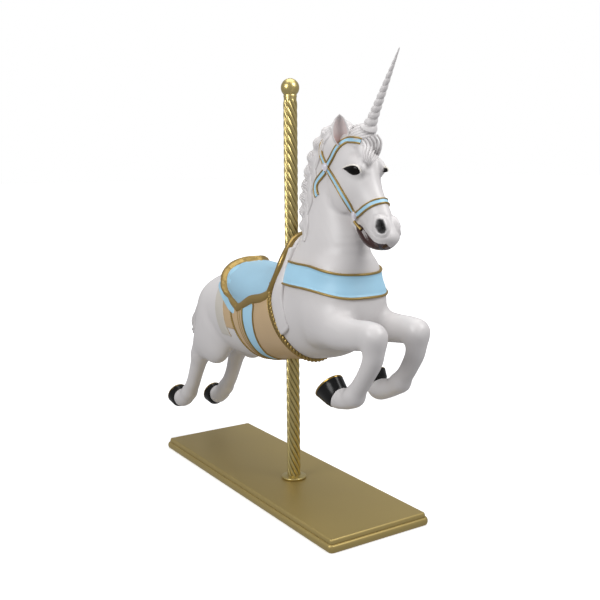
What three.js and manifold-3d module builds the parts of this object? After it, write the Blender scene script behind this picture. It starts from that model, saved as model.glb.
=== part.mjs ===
// Carousel unicorn on its stand: a plinth, a foot collar, a twisted pole with a ball on top, and the
// leaping figure that the pole runs through. Millimetres, +Z up, +X towards the nose, +Y the figure's
// left. The origin is on the underside of the plinth, on the pole's axis.
import * as THREE from 'three';
import { mergeVertices } from 'three/addons/utils/BufferGeometryUtils.js';
import Module from 'manifold-3d';

const wasm = await Module();
wasm.setup();

// Plinth: a flat board with a half-round roll and a small step round its edge
const plinthLength = 1300;
const plinthWidth = 430;
const plinthThickness = 45;
const plinthCornerRadius = 20;
const plinthRollHeight = 28;
const plinthTopInset = 17;
const plinthStepInset = 8;
const plinthGroove = 4;
const plinthCentreBehindPole = 90;

// Pole, its foot collar and its ball
const poleDiameter = 52;
const poleStrandCount = 8;
const poleStrandDepth = 2.4;
const poleTwistLead = 270;
const poleHeight = 1467;
const poleNeckLength = 57;
const poleNeckDiameter = 46;
const poleSpigotDiameter = 36;
const poleSpigotDepth = 22;
const ballDiameter = 68;
const ballTenonDiameter = 20;
const ballTenonLength = 30;
const collarDiameter = 98;
const collarHeight = 13;

// Clearances
const jointGap = 0.3;
const boreClearance = 0.5;

// The figure: its stations below are written for a figure 1700 long and grow with its length
const figureLength = 1700;
const hoofClearance = 81;
const share = figureLength / 1700;
const lowestHoofStation = 126;
const figureTriangles = 5900;
const gridStep = 7;

// Colours of the paint
const paint = {
  plinth: { color: 0x7d6c3c, roughness: 0.45, metalness: 0.75 },
  collar: { color: 0x8a7538, roughness: 0.4, metalness: 0.8 },
  pole: { color: 0x96803a, roughness: 0.32, metalness: 0.85 },
  ball: { color: 0x96803a, roughness: 0.3, metalness: 0.85 },
  unicorn: { color: 0xe4e0de, roughness: 0.4, metalness: 0 },
};

// Solids in and out of the boolean library

function toSolid(geometry) {
  const bare = geometry.clone();
  bare.deleteAttribute('normal');
  bare.deleteAttribute('uv');
  const merged = mergeVertices(bare, 1e-4);
  const mesh = new wasm.Mesh({
    numProp: 3,
    vertProperties: new Float32Array(merged.attributes.position.array),
    triVerts: new Uint32Array(merged.index.array),
  });
  return new wasm.Manifold(mesh);
}

function toGeometry(solid) {
  const mesh = solid.getMesh();
  return indexedGeometry(mesh.vertProperties, mesh.triVerts);
}

function indexedGeometry(positions, indices) {
  const geometry = new THREE.BufferGeometry();
  geometry.setAttribute('position', new THREE.BufferAttribute(new Float32Array(positions), 3));
  geometry.setIndex(new THREE.BufferAttribute(new Uint32Array(indices), 1));
  geometry.computeVertexNormals();
  return geometry;
}

// A closed skin over rings of equal point counts, from the first ring up to the last, capped at both ends
function skinRings(rings) {
  const count = rings[0].length;
  const positions = rings.flat(2);
  const indices = [];
  for (let ring = 0; ring + 1 < rings.length; ring += 1) {
    for (let k = 0; k < count; k += 1) {
      const a = ring * count + k;
      const b = ring * count + ((k + 1) % count);
      indices.push(a, b, b + count, a, b + count, a + count);
    }
  }
  for (const [ring, turned] of [[0, true], [rings.length - 1, false]]) {
    const centre = rings[ring].reduce((sum, p) => sum.map((v, i) => v + p[i] / count), [0, 0, 0]);
    const hub = positions.length / 3;
    positions.push(...centre);
    for (let k = 0; k < count; k += 1) {
      const a = ring * count + k;
      const b = ring * count + ((k + 1) % count);
      indices.push(...(turned ? [b, a, hub] : [a, b, hub]));
    }
  }
  return indexedGeometry(positions, indices);
}

// A profile of [radius, height] turned round +Z
function turned(profile, segments) {
  const points = profile.map(([radius, height]) => new THREE.Vector2(radius, height));
  const lathe = new THREE.LatheGeometry(points, segments);
  lathe.rotateX(Math.PI / 2);
  return lathe;
}

// Plinth

// Inset and height of the edge profile, from the underside up
function plinthEdge() {
  const profile = [];
  const rollRadius = plinthRollHeight / 2;
  const rollSteps = 5;
  for (let i = 0; i <= rollSteps; i += 1) {
    const angle = -Math.PI / 2 + (Math.PI * i) / rollSteps;
    const bulge = plinthStepInset * Math.cos(angle);
    profile.push([plinthStepInset - bulge, rollRadius + rollRadius * Math.sin(angle)]);
  }
  profile.push([plinthStepInset + plinthGroove, plinthRollHeight + plinthGroove / 2]);
  const stepHeight = plinthThickness - plinthRollHeight - plinthGroove / 2;
  const stepSteps = 3;
  const stepBase = plinthStepInset + plinthGroove / 2;
  for (let i = 0; i <= stepSteps; i += 1) {
    const angle = (Math.PI / 2) * (i / stepSteps);
    const inset = stepBase + (plinthTopInset - stepBase) * (1 - Math.cos(angle));
    const rise = stepHeight * Math.sin(angle);
    profile.push([inset, plinthRollHeight + plinthGroove / 2 + rise]);
  }
  return profile;
}

function roundedOutline(length, width, radius, height) {
  const outline = [];
  const arcSteps = 3;
  const corners = [[1, -1, -90], [1, 1, 0], [-1, 1, 90], [-1, -1, 180]];
  for (const [sideX, sideY, start] of corners) {
    for (let i = 0; i <= arcSteps; i += 1) {
      const angle = THREE.MathUtils.degToRad(start + (90 * i) / arcSteps);
      const x = sideX * (length / 2 - radius) + radius * Math.cos(angle);
      const y = sideY * (width / 2 - radius) + radius * Math.sin(angle);
      outline.push([x - plinthCentreBehindPole, y, height]);
    }
  }
  return outline;
}

function makePlinth() {
  const rings = plinthEdge().map(([inset, height]) => roundedOutline(
    plinthLength - 2 * inset, plinthWidth - 2 * inset, plinthCornerRadius - inset * 0.5, height));
  const socketRadius = poleSpigotDiameter / 2 + jointGap;
  const socketFloor = plinthThickness - poleSpigotDepth - jointGap;
  const socket = turned([
    [0, socketFloor], [socketRadius, socketFloor],
    [socketRadius, plinthThickness + 10], [0, plinthThickness + 10]], 20);
  return toGeometry(toSolid(skinRings(rings)).subtract(toSolid(socket)));
}

// Pole, collar and ball

const poleFoot = plinthThickness + jointGap;
const poleTop = plinthThickness + poleHeight;
const poleRadius = poleDiameter / 2;

function poleRing(radius, depth, height) {
  const pointsPerStrand = 2;
  const count = poleStrandCount * pointsPerStrand;
  const twist = (-2 * Math.PI * height) / poleTwistLead;
  const ring = [];
  for (let k = 0; k < count; k += 1) {
    const angle = (2 * Math.PI * k) / count;
    const lobe = radius - (k % pointsPerStrand === 0 ? 0 : depth);
    ring.push([lobe * Math.cos(angle + twist), lobe * Math.sin(angle + twist), height]);
  }
  return ring;
}

function makePole() {
  const spigotRadius = poleSpigotDiameter / 2;
  const rings = [
    poleRing(spigotRadius, 0, plinthThickness - poleSpigotDepth),
    poleRing(spigotRadius, 0, poleFoot),
  ];
  const shaftTop = poleTop - poleNeckLength;
  const ringsPerTurn = 9;
  const steps = Math.ceil(((shaftTop - poleFoot) / poleTwistLead) * ringsPerTurn);
  for (let i = 0; i <= steps; i += 1) {
    const height = poleFoot + ((shaftTop - poleFoot) * i) / steps;
    rings.push(poleRing(poleRadius, poleStrandDepth, height));
  }
  const neckRadius = poleNeckDiameter / 2;
  const shoulder = poleRadius - neckRadius;
  rings.push(poleRing(neckRadius, 0, shaftTop + shoulder));
  rings.push(poleRing(neckRadius, 0, poleTop));
  const bore = turned([
    [0, poleTop - ballTenonLength - jointGap], [ballTenonDiameter / 2 + jointGap, poleTop - ballTenonLength - jointGap],
    [ballTenonDiameter / 2 + jointGap, poleTop + 10], [0, poleTop + 10]], 16);
  return toGeometry(toSolid(skinRings(rings)).subtract(toSolid(bore)));
}

function makeCollar() {
  const inner = poleRadius + jointGap;
  const outer = collarDiameter / 2;
  const foot = plinthThickness + jointGap;
  const profile = [[inner, foot]];
  const steps = 4;
  for (let i = 0; i <= steps; i += 1) {
    const angle = (Math.PI / 2) * (i / steps);
    const radius = outer - (outer - inner) * 0.62 * (1 - Math.cos(angle));
    profile.push([radius, foot + collarHeight * 0.7 * Math.sin(angle)]);
  }
  profile.push([inner + 2, foot + collarHeight]);
  profile.push([inner, foot + collarHeight]);
  profile.push([inner, foot]);
  return toGeometry(toSolid(turned(profile, 26)));
}

function makeBall() {
  const radius = ballDiameter / 2;
  const seat = poleNeckDiameter / 2 - 3;
  const centre = poleTop + jointGap + Math.sqrt(radius * radius - seat * seat);
  const tenon = ballTenonDiameter / 2;
  const profile = [[0, poleTop - ballTenonLength], [tenon, poleTop - ballTenonLength], [tenon, poleTop + jointGap]];
  const start = -Math.acos(seat / radius);
  const steps = 8;
  for (let i = 0; i <= steps; i += 1) {
    const angle = start + ((Math.PI / 2 - start) * i) / steps;
    profile.push([i === steps ? 0 : radius * Math.cos(angle), centre + radius * Math.sin(angle)]);
  }
  return toGeometry(toSolid(turned(profile, 20)));
}

// The figure's form. Stations are [x, y, z, half width across, half depth in the bend's plane]; a limb
// runs through them on a smooth curve, and muscles are ellipsoids that are blended in.

const barrel = [
  [-610, 0, 640, 78, 92], [-550, 0, 648, 114, 136], [-450, 0, 658, 138, 158], [-300, 0, 650, 150, 172],
  [-150, 0, 668, 152, 180], [0, 0, 706, 148, 182], [150, 0, 745, 142, 188], [290, 0, 778, 132, 182],
  [368, 0, 812, 106, 150],
];
const neck = [
  [230, 0, 850, 118, 185], [285, 0, 960, 98, 158], [268, 0, 1060, 80, 128], [252, 0, 1160, 68, 106],
  [275, 0, 1250, 62, 95], [325, 0, 1315, 58, 75],
];
const head = [
  [350, 0, 1318, 56, 80], [388, 0, 1255, 64, 98], [422, 0, 1190, 62, 94], [470, 0, 1137, 48, 74],
  [522, 0, 1086, 40, 60], [553, 0, 1048, 44, 48], [566, 0, 1030, 40, 40],
];
const lowerJaw = [
  [440, 0, 1080, 36, 32], [492, 0, 1022, 35, 26], [535, 0, 1003, 31, 18], [566, 0, 1002, 24, 13],
];
const nearFore = {
  arm: [[330, -88, 738, 54, 88], [430, -98, 716, 50, 66], [530, -101, 716, 43, 52], [600, -101, 724, 40, 49],
    [638, -101, 724, 39, 47]],
  cannon: [[640, -101, 724, 37, 42], [634, -101, 655, 33, 35], [600, -101, 597, 29, 30],
    [560, -101, 545, 29, 30], [530, -101, 512, 33, 34]],
  pastern: [[540, -101, 512, 33, 33], [500, -101, 494, 33, 33], [447, -101, 489, 38, 38]],
  hoof: { coronet: [447, -101, 484], sole: [400, -101, 527] },
};
const farFore = {
  arm: [[300, 84, 735, 54, 88], [400, 95, 712, 50, 64], [500, 100, 712, 43, 50], [568, 100, 716, 40, 48],
    [606, 100, 714, 39, 46]],
  cannon: [[610, 100, 714, 37, 42], [603, 100, 650, 33, 34], [583, 100, 608, 30, 31],
    [552, 100, 562, 29, 30], [520, 100, 528, 32, 33]],
  pastern: [[530, 100, 528, 33, 33], [478, 100, 500, 33, 33], [405, 100, 477, 38, 38]],
  hoof: { coronet: [402, 100, 476], sole: [355, 100, 517] },
};
const nearHind = {
  arm: [[-470, -78, 600, 62, 110], [-540, -88, 530, 56, 84], [-592, -90, 480, 46, 58],
    [-625, -90, 435, 37, 42]],
  cannon: [[-622, -90, 440, 37, 42], [-647, -90, 392, 34, 37], [-680, -90, 335, 31, 33],
    [-708, -90, 288, 31, 32], [-748, -90, 238, 33, 34]],
  pastern: [[-748, -90, 238, 33, 34], [-786, -90, 207, 36, 37], [-822, -90, 194, 41, 41]],
  hoof: { coronet: [-838, -90, 183], sole: [-882, -90, 202] },
};
const farHind = {
  arm: [[-470, 78, 600, 62, 110], [-535, 88, 530, 56, 84], [-582, 90, 480, 46, 58], [-612, 90, 435, 37, 42]],
  cannon: [[-610, 90, 440, 37, 42], [-634, 90, 388, 34, 37], [-660, 90, 335, 31, 33],
    [-690, 90, 288, 31, 32], [-733, 90, 240, 33, 34]],
  pastern: [[-733, 90, 240, 33, 34], [-773, 90, 204, 36, 37], [-810, 90, 186, 41, 41]],
  hoof: { coronet: [-828, 90, 168], sole: [-872, 90, 184] },
};
const tail = [[-640, 0, 700, 30, 30], [-725, 0, 655, 34, 34], [-795, 0, 580, 32, 30], [-832, 0, 520, 22, 20]];
const nearEar = [[392, -52, 1325, 24, 20], [396, -58, 1360, 27, 18], [392, -57, 1395, 18, 12],
  [388, -54, 1422, 5, 5]];
const farEar = [[380, 52, 1322, 24, 20], [378, 64, 1350, 26, 18], [374, 74, 1374, 17, 12],
  [370, 80, 1393, 5, 5]];

// Locks of the mane down the crest: place, radius across and radius along the crest
const maneLocks = [
  [330, -4, 1384, 40, 36], [286, -14, 1366, 38, 38], [252, -20, 1330, 42, 42], [222, -24, 1284, 42, 44],
  [204, -26, 1236, 42, 42], [186, -26, 1190, 42, 40], [176, -26, 1146, 44, 42], [172, -25, 1098, 44, 44],
  [172, -22, 1046, 46, 46], [176, -16, 1000, 46, 44],
];

// Ellipsoids: centre, radii along x, y and z, pitch in degrees about +Y
const muscles = [
  { at: [-488, -88, 532], radii: [118, 58, 108], pitch: 0 },
  { at: [-488, 88, 532], radii: [118, 58, 108], pitch: 0 },
  { at: [-528, -60, 640], radii: [100, 72, 116], pitch: 0 },
  { at: [-528, 60, 640], radii: [100, 72, 116], pitch: 0 },
  { at: [325, -88, 770], radii: [100, 52, 122], pitch: 20 },
  { at: [325, 88, 770], radii: [100, 52, 122], pitch: 20 },
  { at: [405, -48, 812], radii: [62, 56, 80], pitch: 0 },
  { at: [405, 48, 812], radii: [62, 56, 80], pitch: 0 },
];
const faceForms = [
  { at: [388, -38, 1180], radii: [76, 30, 78], pitch: 0 },
  { at: [388, 38, 1180], radii: [76, 30, 78], pitch: 0 },
  { at: [462, -40, 1254], radii: [46, 21, 30], pitch: 20 },
  { at: [462, 40, 1254], radii: [46, 21, 30], pitch: 20 },
  { at: [584, -28, 1070], radii: [24, 19, 30], pitch: -30 },
  { at: [584, 28, 1070], radii: [24, 19, 30], pitch: -30 },
  { at: [578, 0, 1036], radii: [34, 38, 24], pitch: 20 },
  { at: [446, 0, 1342], radii: [46, 42, 50], pitch: 0 },
  { at: [482, -20, 1296], radii: [20, 24, 42], pitch: -30 },
];

// The saddle: seat dome, the roll of the pommel and the white flap below it
const seat = [[-362, 0, 782, 112, 82], [-290, 0, 792, 128, 102], [-180, 0, 782, 143, 107],
  [-70, 0, 768, 148, 106], [20, 0, 775, 140, 98]];
const pommelRoll = [[62, -134, 806, 14, 14], [100, -126, 872, 14, 14], [113, -113, 918, 14, 14],
  [112, -88, 957, 14, 14], [92, -48, 992, 14, 14], [72, 0, 1006, 14, 14], [92, 48, 992, 14, 14],
  [112, 88, 957, 14, 14], [113, 113, 918, 14, 14], [100, 126, 872, 14, 14], [62, 134, 806, 14, 14]];
const flapCurve = [[135, 84, 965, 20, 36], [142, 112, 905, 14, 34], [122, 132, 835, 12, 36],
  [112, 139, 770, 11, 36], [132, 139, 710, 11, 34], [150, 134, 682, 8, 24]];

// The wall in front of the pommel's roll, which closes the gap to the neck
const pommelWall = pommelRoll.slice(1, -1).map(([x, y, z]) => [x + 26, y * 0.93, z - 12, 24, 24]);

function mirrored(stations) {
  return stations.map(([x, y, z, across, depth]) => [x, -y, z, across, depth]);
}

// Girth and breast band. The girth's edges are planes tilted forward; lean is the plane's normal.
const girthLean = [0.9135, 0.4067];
const girthBack = 85;
const girthFront = 384;
const panelBack = -46;
const panelStep = 23;
const clothThickness = 5;
const bandHalfHeight = 42;
const bandLevel = 880;
const bandStart = 120;
const flapThickness = 7;
const ropeRadius = 9;
const pipingRadius = 6;

// Lower edge of the saddle flap as a height over x
const flapEdge = [[-420, 830], [-345, 800], [-300, 770], [-250, 742], [-190, 706], [-150, 708], [-110, 738],
  [-60, 778], [0, 798], [60, 806]];

function heightOver(table, x) {
  if (x <= table[0][0]) {
    return table[0][1];
  }
  for (let i = 1; i < table.length; i += 1) {
    if (x <= table[i][0]) {
      const part = (x - table[i - 1][0]) / (table[i][0] - table[i - 1][0]);
      const smooth = part * part * (3 - 2 * part);
      return table[i - 1][1] + (table[i][1] - table[i - 1][1]) * smooth;
    }
  }
  return table[table.length - 1][1];
}

// Smooth curve through stations, cut into short straight pieces of the field
function curveStations(stations, steps) {
  const last = stations.length - 1;
  const points = [];
  for (let i = 0; i < last; i += 1) {
    const before = stations[Math.max(i - 1, 0)];
    const from = stations[i];
    const to = stations[i + 1];
    const after = stations[Math.min(i + 2, last)];
    for (let s = 0; s < steps; s += 1) {
      const t = s / steps;
      points.push(from.map((value, k) => 0.5 * (2 * value + (to[k] - before[k]) * t
        + (2 * before[k] - 5 * value + 4 * to[k] - after[k]) * t * t
        + (3 * value - before[k] - 3 * to[k] + after[k]) * t * t * t)));
    }
  }
  points.push(stations[last]);
  return points;
}

function limb(stations, blend, steps = 3) {
  const points = curveStations(stations, steps);
  const pieces = [];
  for (let i = 0; i + 1 < points.length; i += 1) {
    const a = points[i];
    const b = points[i + 1];
    const axis = new THREE.Vector3(b[0] - a[0], b[1] - a[1], b[2] - a[2]);
    const length = axis.length();
    axis.normalize();
    const across = new THREE.Vector3(0, 1, 0);
    across.addScaledVector(axis, -across.dot(axis)).normalize();
    const inBend = new THREE.Vector3().crossVectors(across, axis);
    pieces.push({ a, b, axis, across, inBend, length, reach: length / 2 + Math.max(a[3], b[3], a[4], b[4]) });
  }
  return { kind: 'limb', pieces, blend };
}

function pieceDistance(piece, x, y, z) {
  const { a, b, axis, across, inBend, length } = piece;
  const px = x - a[0];
  const py = y - a[1];
  const pz = z - a[2];
  let t = (px * axis.x + py * axis.y + pz * axis.z) / length;
  t = t < 0 ? 0 : t > 1 ? 1 : t;
  const vx = px - (b[0] - a[0]) * t;
  const vy = py - (b[1] - a[1]) * t;
  const vz = pz - (b[2] - a[2]) * t;
  const width = a[3] + (b[3] - a[3]) * t;
  const depth = a[4] + (b[4] - a[4]) * t;
  const along = (vx * axis.x + vy * axis.y + vz * axis.z) / Math.min(width, depth);
  const side = (vx * across.x + vy * across.y + vz * across.z) / width;
  const bend = (vx * inBend.x + vy * inBend.y + vz * inBend.z) / depth;
  const ratio = Math.sqrt(along * along + side * side + bend * bend);
  const distance = Math.sqrt(vx * vx + vy * vy + vz * vz);
  return ratio < 1e-6 ? -Math.min(width, depth) : distance * (1 - 1 / ratio);
}

function muscleDistance(form, x, y, z) {
  const dx = x - form.at[0];
  const dy = y - form.at[1];
  const dz = z - form.at[2];
  const along = dx * form.cos - dz * form.sin;
  const up = dx * form.sin + dz * form.cos;
  const ratio = Math.hypot(along / form.radii[0], dy / form.radii[1], up / form.radii[2]);
  const distance = Math.hypot(dx, dy, dz);
  return ratio < 1e-6 ? -Math.min(...form.radii) : distance * (1 - 1 / ratio);
}

function muscle({ at, radii, pitch }, blend) {
  const turn = THREE.MathUtils.degToRad(pitch);
  return { kind: 'muscle', at, radii, cos: Math.cos(turn), sin: Math.sin(turn), blend };
}

// Two fields joined with a fillet of the given size
function blended(a, b, fillet) {
  const near = Math.max(fillet - Math.abs(a - b), 0);
  return Math.min(a, b) - (near * near) / (4 * fillet);
}

const hideForms = [
  limb(barrel, 40, 4),
  limb(neck, 50, 4),
  limb(head, 26, 4),
  ...muscles.map((form) => muscle(form, 40)),
  ...[nearFore, farFore, nearHind, farHind].flatMap((leg) => [
    limb(leg.arm, 34), limb(leg.cannon, 20), limb(leg.pastern, 14)]),
  ...faceForms.map((form) => muscle(form, 16)),
  limb(lowerJaw, 8),
  limb(tail, 14),
  limb(nearEar, 8, 2),
  limb(farEar, 8, 2),
  ...maneLocks.map(([x, y, z, across, along]) => muscle(
    { at: [x, y, z], radii: [along, across, along * 0.72], pitch: 0 }, 9)),
];
const saddleForms = [limb(seat, 10, 4)];
const rollForms = [limb(pommelWall, 14), limb(flapCurve, 10), limb(mirrored(flapCurve), 10), limb(pommelRoll, 3)];

function formDistance(form, x, y, z) {
  if (form.kind === 'muscle') {
    return muscleDistance(form, x, y, z);
  }
  let best = Infinity;
  for (const piece of form.active ?? form.pieces) {
    best = Math.min(best, pieceDistance(piece, x, y, z));
  }
  return best;
}

function joined(forms, x, y, z, start) {
  let field = start;
  for (const form of forms) {
    const distance = formDistance(form, x, y, z);
    if (distance < field + form.blend) {
      field = field === Infinity ? distance : blended(field, distance, form.blend);
    }
  }
  return field;
}

// The figure's field in its own stations: negative inside
function figureField(x, y, z, hide, saddle, rolls) {
  let skin = joined(hide, x, y, z, Infinity);
  const side = girthLean[0] * x + girthLean[1] * z;
  if (skin < 30) {
    const girth = Math.max(girthBack - side, side - girthFront, z - 860);
    const narrowPanel = Math.max(panelStep - side, side - girthBack, z - 860, 625 - z);
    const widePanel = Math.max(panelBack - side, side - panelStep, z - 860, 588 - z);
    const panels = Math.min(girth, narrowPanel, widePanel);
    const dip = 20 * Math.max(0, Math.min(1, (x - 290) / 150)) ** 2;
    const band = Math.max(Math.abs(z - bandLevel + dip) - bandHalfHeight, bandStart - x);
    const cloth = Math.min(panels, band);
    const edge = Math.max(heightOver(flapEdge, x) - z, x - 78, -400 - x);
    const bare = skin;
    skin = Math.min(skin, Math.max(bare - clothThickness, cloth));
    skin = Math.min(skin, Math.max(bare - clothThickness - flapThickness, edge, z - 900));
    const rope = Math.max(Math.hypot(side - girthFront, bare - clothThickness) - ropeRadius, z - 820);
    const bandEdge = Math.abs(z - bandLevel + dip) - bandHalfHeight;
    const piping = Math.max(Math.hypot(bandEdge, bare - clothThickness) - pipingRadius, bandStart - x);
    skin = Math.min(skin, rope, piping);
  }
  skin = joined(saddle, x, y, z, skin);
  return joined(rolls, x, y, z, skin);
}

// Surface of the field on a sparse grid

const gridLow = [-960, -176, 118];
const gridHigh = [710, 176, 1452];
const blockCells = 8;
const surfaceNudge = 0.05;
const edgeCost = 0.002;

function centreDistance(form, centre) {
  return formDistance(form, centre[0], centre[1], centre[2]);
}

function nearForms(forms, centre, reach) {
  const kept = [];
  for (const form of forms) {
    if (form.kind === 'muscle') {
      if (centreDistance(form, centre) < reach + form.blend) {
        kept.push(form);
      }
    } else {
      const active = form.pieces.filter((piece) => pieceDistance(piece, ...centre) < reach + form.blend);
      if (active.length > 0) {
        kept.push({ ...form, active });
      }
    }
  }
  return kept;
}

function sampleFigure() {
  const cells = gridLow.map((low, axis) => Math.ceil((gridHigh[axis] - low) / gridStep / blockCells) * blockCells);
  const nodes = cells.map((n) => n + 1);
  const values = new Float32Array(nodes[0] * nodes[1] * nodes[2]).fill(1e3);
  const known = new Uint8Array(values.length);
  const liveBlocks = [];
  const halfDiagonal = (Math.sqrt(3) / 2) * blockCells * gridStep;
  for (let bx = 0; bx < cells[0]; bx += blockCells) {
    for (let by = 0; by < cells[1]; by += blockCells) {
      for (let bz = 0; bz < cells[2]; bz += blockCells) {
        const centre = [bx, by, bz].map((cell, axis) => gridLow[axis] + (cell + blockCells / 2) * gridStep);
        const middle = figureField(...centre, hideForms, saddleForms, rollForms);
        if (Math.abs(middle) > 1.7 * halfDiagonal) {
          continue;
        }
        const reach = Math.max(middle, 0) + 2.6 * halfDiagonal;
        const hide = nearForms(hideForms, centre, reach);
        const saddle = nearForms(saddleForms, centre, reach);
        const rolls = nearForms(rollForms, centre, reach);
        liveBlocks.push([bx, by, bz]);
        for (let i = bx; i <= bx + blockCells; i += 1) {
          for (let j = by; j <= by + blockCells; j += 1) {
            for (let k = bz; k <= bz + blockCells; k += 1) {
              const index = (i * nodes[1] + j) * nodes[2] + k;
              if (known[index] === 0) {
                known[index] = 1;
                const value = figureField(gridLow[0] + i * gridStep, gridLow[1] + j * gridStep,
                  gridLow[2] + k * gridStep, hide, saddle, rolls);
                values[index] = Math.abs(value) < surfaceNudge ? surfaceNudge : value;
              }
            }
          }
        }
      }
    }
  }
  return { values, nodes, liveBlocks };
}

// Corner numbers of a cell use bit 0 for x, bit 1 for y and bit 2 for z
function joinedCorners(bits) {
  const start = [0, 1, 2, 3, 4, 5, 6, 7].find((corner) => bits & (1 << corner));
  if (start === undefined) {
    return 0;
  }
  let reached = 1 << start;
  for (let round = 0; round < 8; round += 1) {
    for (let corner = 0; corner < 8; corner += 1) {
      if (reached & (1 << corner)) {
        for (const step of [1, 2, 4]) {
          reached |= bits & (1 << (corner ^ step));
        }
      }
    }
  }
  return reached;
}

// Cells whose inside corners or outside corners fall apart would pinch the surface: the corners that
// stand alone are moved just across it
function clearPinches({ values, nodes, liveBlocks }) {
  const strides = [nodes[1] * nodes[2], nodes[2], 1];
  const loose = new Uint8Array(256);
  for (let bits = 1; bits < 255; bits += 1) {
    const outside = 255 ^ bits;
    loose[bits] = joinedCorners(bits) !== bits ? bits ^ joinedCorners(bits)
      : joinedCorners(outside) !== outside ? outside ^ joinedCorners(outside) : 0;
  }
  const rounds = 6;
  for (let round = 0; round < rounds; round += 1) {
    let changed = 0;
    forEachCell(liveBlocks, strides, (base) => {
      const bits = cellBits(values, base, strides);
      for (let corner = 0; corner < 8; corner += 1) {
        if (loose[bits] & (1 << corner)) {
          const index = cornerIndex(base, corner, strides);
          values[index] = values[index] < 0 ? surfaceNudge : -surfaceNudge;
          changed += 1;
        }
      }
    });
    if (changed === 0) {
      return;
    }
  }
}

function cornerIndex(base, corner, strides) {
  return base + (corner & 1 ? strides[0] : 0) + (corner & 2 ? strides[1] : 0) + (corner & 4 ? strides[2] : 0);
}

function cellBits(values, base, strides) {
  let bits = 0;
  for (let corner = 0; corner < 8; corner += 1) {
    bits |= values[cornerIndex(base, corner, strides)] < 0 ? 1 << corner : 0;
  }
  return bits;
}

function forEachCell(blocks, strides, visit) {
  for (const [bx, by, bz] of blocks) {
    for (let i = bx; i < bx + blockCells; i += 1) {
      for (let j = by; j < by + blockCells; j += 1) {
        for (let k = bz; k < bz + blockCells; k += 1) {
          visit(i * strides[0] + j * strides[1] + k, i, j, k);
        }
      }
    }
  }
}

// One vertex in each cell that the surface crosses, at the mean of its edge crossings, and one
// four-sided face across each crossed grid edge
function surfaceMesh({ values, nodes, liveBlocks }) {
  const strides = [nodes[1] * nodes[2], nodes[2], 1];
  const vertexOf = new Int32Array(values.length).fill(-1);
  const positions = [];
  forEachCell(liveBlocks, strides, (base, i, j, k) => {
    const bits = cellBits(values, base, strides);
    if (bits === 0 || bits === 255) {
      return;
    }
    let count = 0;
    const sum = [0, 0, 0];
    for (let corner = 0; corner < 8; corner += 1) {
      for (const step of [1, 2, 4]) {
        const other = corner | step;
        if (other === corner || ((bits >> corner) & 1) === ((bits >> other) & 1)) {
          continue;
        }
        const first = values[cornerIndex(base, corner, strides)];
        const second = values[cornerIndex(base, other, strides)];
        const part = first / (first - second);
        sum[0] += (corner & 1 ? 1 : 0) + (step === 1 ? part : 0);
        sum[1] += (corner & 2 ? 1 : 0) + (step === 2 ? part : 0);
        sum[2] += (corner & 4 ? 1 : 0) + (step === 4 ? part : 0);
        count += 1;
      }
    }
    vertexOf[base] = positions.length / 3;
    positions.push(gridLow[0] + (i + sum[0] / count) * gridStep, gridLow[1] + (j + sum[1] / count) * gridStep,
      gridLow[2] + (k + sum[2] / count) * gridStep);
  });

  const faces = [];
  forEachCell(liveBlocks, strides, (base) => {
    const inside = values[base] < 0;
    for (let axis = 0; axis < 3; axis += 1) {
      if (inside === (values[base + strides[axis]] < 0)) {
        continue;
      }
      const next = strides[(axis + 1) % 3];
      const last = strides[(axis + 2) % 3];
      const loop = [base, base - next, base - next - last, base - last].map((cell) => vertexOf[cell]);
      const quad = inside ? loop : [...loop].reverse();
      faces.push(quad[0], quad[1], quad[2], quad[0], quad[2], quad[3]);
    }
  });
  return { positions: Float64Array.from(positions), faces: Int32Array.from(faces) };
}

// Edge collapse by quadric error, which keeps the surface closed

// How closely the carving is kept: the head, mane and tack count for more than the plain hide
function carvingWeight(x, y, z) {
  if (x > 150 && z > 960) {
    return z > 1000 && x > 330 ? 8 : 4;
  }
  return z > 560 && x > -440 && x < 220 ? 2.5 : 1;
}

// Sum of the squared distances to a vertex's planes: ten numbers, the upper triangle row by row
function quadricError(q, x, y, z) {
  return q[0] * x * x + 2 * q[1] * x * y + 2 * q[2] * x * z + 2 * q[3] * x + q[4] * y * y
    + 2 * q[5] * y * z + 2 * q[6] * y + q[7] * z * z + 2 * q[8] * z + q[9];
}

// The point of least error, or null where the planes are too nearly parallel to fix one
function quadricMinimum(q) {
  const [a, b, c, d, e, f, g, h, k] = q;
  const det = a * (e * h - f * f) - b * (b * h - c * f) + c * (b * f - c * e);
  if (det < 1e-4 * (a + e + h) ** 3) {
    return null;
  }
  return [
    -(d * (e * h - f * f) - b * (g * h - k * f) + c * (g * f - k * e)) / det,
    -(a * (g * h - k * f) - d * (b * h - c * f) + c * (b * k - c * g)) / det,
    -(a * (e * k - g * f) - b * (b * k - c * g) + d * (b * f - c * e)) / det,
  ];
}

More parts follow.
